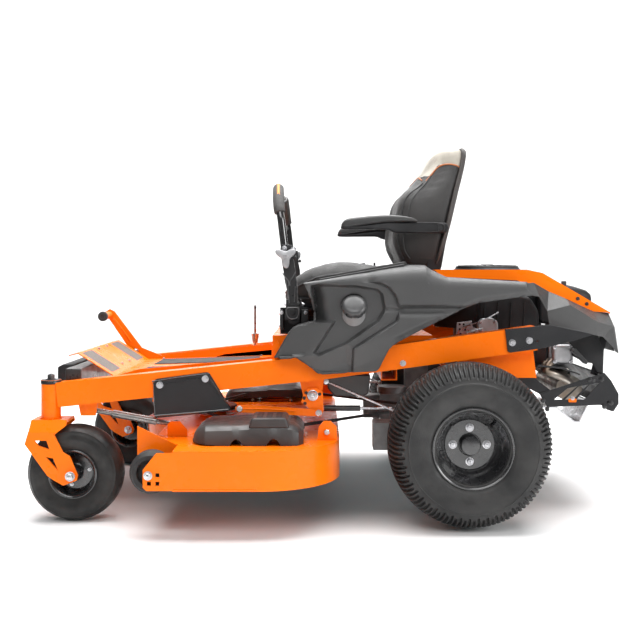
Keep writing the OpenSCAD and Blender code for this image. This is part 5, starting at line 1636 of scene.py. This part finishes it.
def governor(side, word):
    """Perforated linkage bracket with its rod and spring."""
    plate = [(414, 560), (418, 606), (466, 612), (470, 590), (488, 586), (486, 560)]
    prism(f"{word}_governor_plate", plate, side * 268, side * 271, "chassis", "zinc_steel", 0.8)
    # Black discs on the plate stand in for its holes: painted shade
    for k, (x, z) in enumerate(((427, 600), (440, 600), (427, 584), (445, 582), (460, 598), (474, 574), (430, 568),
            (452, 566))):
        turned(f"{word}_governor_hole_shade_{k}", (x, side * 270.6, z), (0, side, 0), [(3.6, 0), (3.6, 0.9), (0, 0.7)],
            "chassis", "black_plastic", 14)
    rod_a = [(432, side * 274, 590), (476, side * 280, 604), (520, side * 276, 622), (556, side * 262, 640)]
    tube(f"{word}_governor_rod", rod_a, 1.8, "chassis", "zinc_steel", 8, 4)
    spring = [(448 + 0.42 * i, side * (276 + 4 * math.cos(i * 0.9)), 572 + 0.1 * i + 4 * math.sin(i * 0.9))
        for i in range(130)]
    loft(f"{word}_governor_spring", tube_rings([Vector(p) for p in spring], 0.9, 6), "chassis", "zinc_steel", 60)


def carburettor(side, word):
    """Carburettor, then the dark sump with its flange."""
    carb = [(488, 566), (556, 566), (556, 606), (536, 622), (500, 618), (488, 600)]
    prism(f"{word}_carburettor", carb, side * 236, side * 262, "chassis", "cast_aluminium", 5)
    for k, (x, z) in enumerate(((498, 606), (545, 608), (500, 578), (545, 576))):
        hex_bolt(f"{word}_carburettor_bolt_{k}", (x, side * 262, z), (0, side, 0), 4.6, "chassis", "zinc_steel", 3)
    rings = []
    for z, r in ((446, 128), (452, 136), (470, 140), (520, 140), (528, 146), (536, 146)):
        rings.append([(585 + r * math.cos(t), side * 90 + 0.86 * r * math.sin(t), z)
            for t in np.linspace(0, TAU, 48, endpoint=False)])
    loft(f"{word}_sump", rings, "chassis", "engine_black", 40, slot="black_paint")


def cylinder_head(side, word):
    """A cast cover with fins, bolts and studs."""
    head = Vector((772, side * 208, 520))
    cover = []
    for h, grow in ((0, 0), (10, 0), (15, -2), (18, -6), (19, -12)):
        ring = rounded_rect(-34 - grow, 34 + grow, 32 + grow, 12)
        cover.append([head + Vector((x, side * (26 + h), y - 20)) for x, y in ring])
    loft(f"{word}_valve_cover", cover, "chassis", "cast_aluminium", 40)
    for k in range(6):
        fin = rect(732, 812, 478, 564)
        prism(f"{word}_head_fin_{k}", fin, side * (186 + 8 * k), side * (190 + 8 * k), "chassis", "cast_aluminium",
            1.5)
    for k, (x, z) in enumerate(((-27, -44), (27, -44), (-27, 4), (27, 4))):
        hex_bolt(f"{word}_head_bolt_{k}", head + Vector((x, side * 43, z)), (0, side, 0), 5, "chassis",
            "zinc_steel", 4)
    for k, x in enumerate((742, 760, 778, 796)):
        turned(f"{word}_head_stud_{k}", (x, side * 214, 564), (0.15, 0, 1),
            [(3, 0), (3, 12), (6, 12), (6, 17), (4, 18), (3, 18), (3, 22)], "chassis", "zinc_steel", 12)


def exhaust(side, word):
    """Headers over the muffler, and the heat shield above them."""
    for k, (dy, dz) in enumerate(((0, 0), (26, 8))):
        path = smooth_path([(748, side * (228 - dy), 480), (726, side * (244 - dy), 462 + dz),
            (716, side * (250 - dy), 444 + dz), (748, side * (246 - dy), 432 + dz),
            (790, side * (220 - dy), 414 + dz), (812, side * (190 - dy), 398)], 6)
        loft(f"{word}_header_{k}", tube_rings(path, 12.5, 20), "chassis", "heat_steel", 50)
    turned(f"{word}_header_flange", (748, side * 228, 482), (0, 0, -1), [(14, 0), (20, 0.5), (20, 6), (14, 6.5)],
        "chassis", "heat_steel", 24)
    prism(f"{word}_heat_shield", [(668, 446), (690, 466), (764, 458), (826, 436), (826, 431), (764, 452),
        (692, 460), (672, 444)], side * 150, side * 262, "chassis", "satin_black", 1.2)


def rear_support(side, word):
    """Upright and brace of the rear cover, and the bolts of guard and trim."""
    upright = [(770, 566), (800, 528), (800, 496), (836, 476), (868, 470), (884, 440), (902, 440), (904, 512),
        (886, 562), (846, 572)]
    prism(f"{word}_rear_upright", upright, side * 252, side * 257, "chassis", "black_plastic", 1.5)
    web = [(800, 524), (842, 478), (836, 470), (792, 512)]
    prism(f"{word}_rear_brace", web, side * 258, side * 300, "chassis", "satin_black", 2)
    # Bolts and the latch of the guard
    for k, (x, z) in enumerate(((837, 426), (876, 426), (906, 350), (686, 358), (700, 330), (884, 338))):
        hex_bolt(f"{word}_guard_bolt_{k}", (x, side * 331.5, z), (0, side, 0), 6, "chassis", "satin_black", 4)
    tag = rect(768, 794, 352, 364)
    prism(f"{word}_guard_latch", tag, side * 331, side * 335, "chassis", "orange_paint", 2)
    hex_bolt(f"{word}_guard_latch_bolt", (781, side * 335, 366), (0, side, 0), 5, "chassis", "zinc_steel", 3)
    for k, (x, z) in enumerate(((798, 688.5), (827, 671.5))):
        hex_bolt(f"{word}_trim_bolt_{k}", (x, side * 334, z - 2), (0, side, 0), 4.6, "chassis", "satin_black", 3)


def engine_side(side, word):
    for make in (blower_side, governor, carburettor, cylinder_head, exhaust, rear_support):
        make(side, word)


def blower_screen():
    """Rotating screen on the blower."""
    rings = []
    for r, z in ((112, 789.6), (110, 794), (60, 797), (24, 798), (20, 801), (2, 801)):
        rings.append([(SHAFT_X + r * math.cos(t), r * math.sin(t), z)
            for t in np.linspace(0, TAU, 64, endpoint=False)])
    loft("blower_screen", rings, "chassis", "cover_plastic", 30)
    for k in range(24):
        a = TAU * k / 24
        path = []
        for r in (32, 56, 80, 104):
            swept = a + 0.004 * (r - 30)
            path.append((SHAFT_X + r * math.cos(swept), r * math.sin(swept), 797.6 - 0.03 * max(0, r - 30)))
        tube(f"screen_vane_{k}", path, 1.6, "chassis", "black_plastic", 8, 2)


engine_middle()
both(engine_side)
blower_screen()
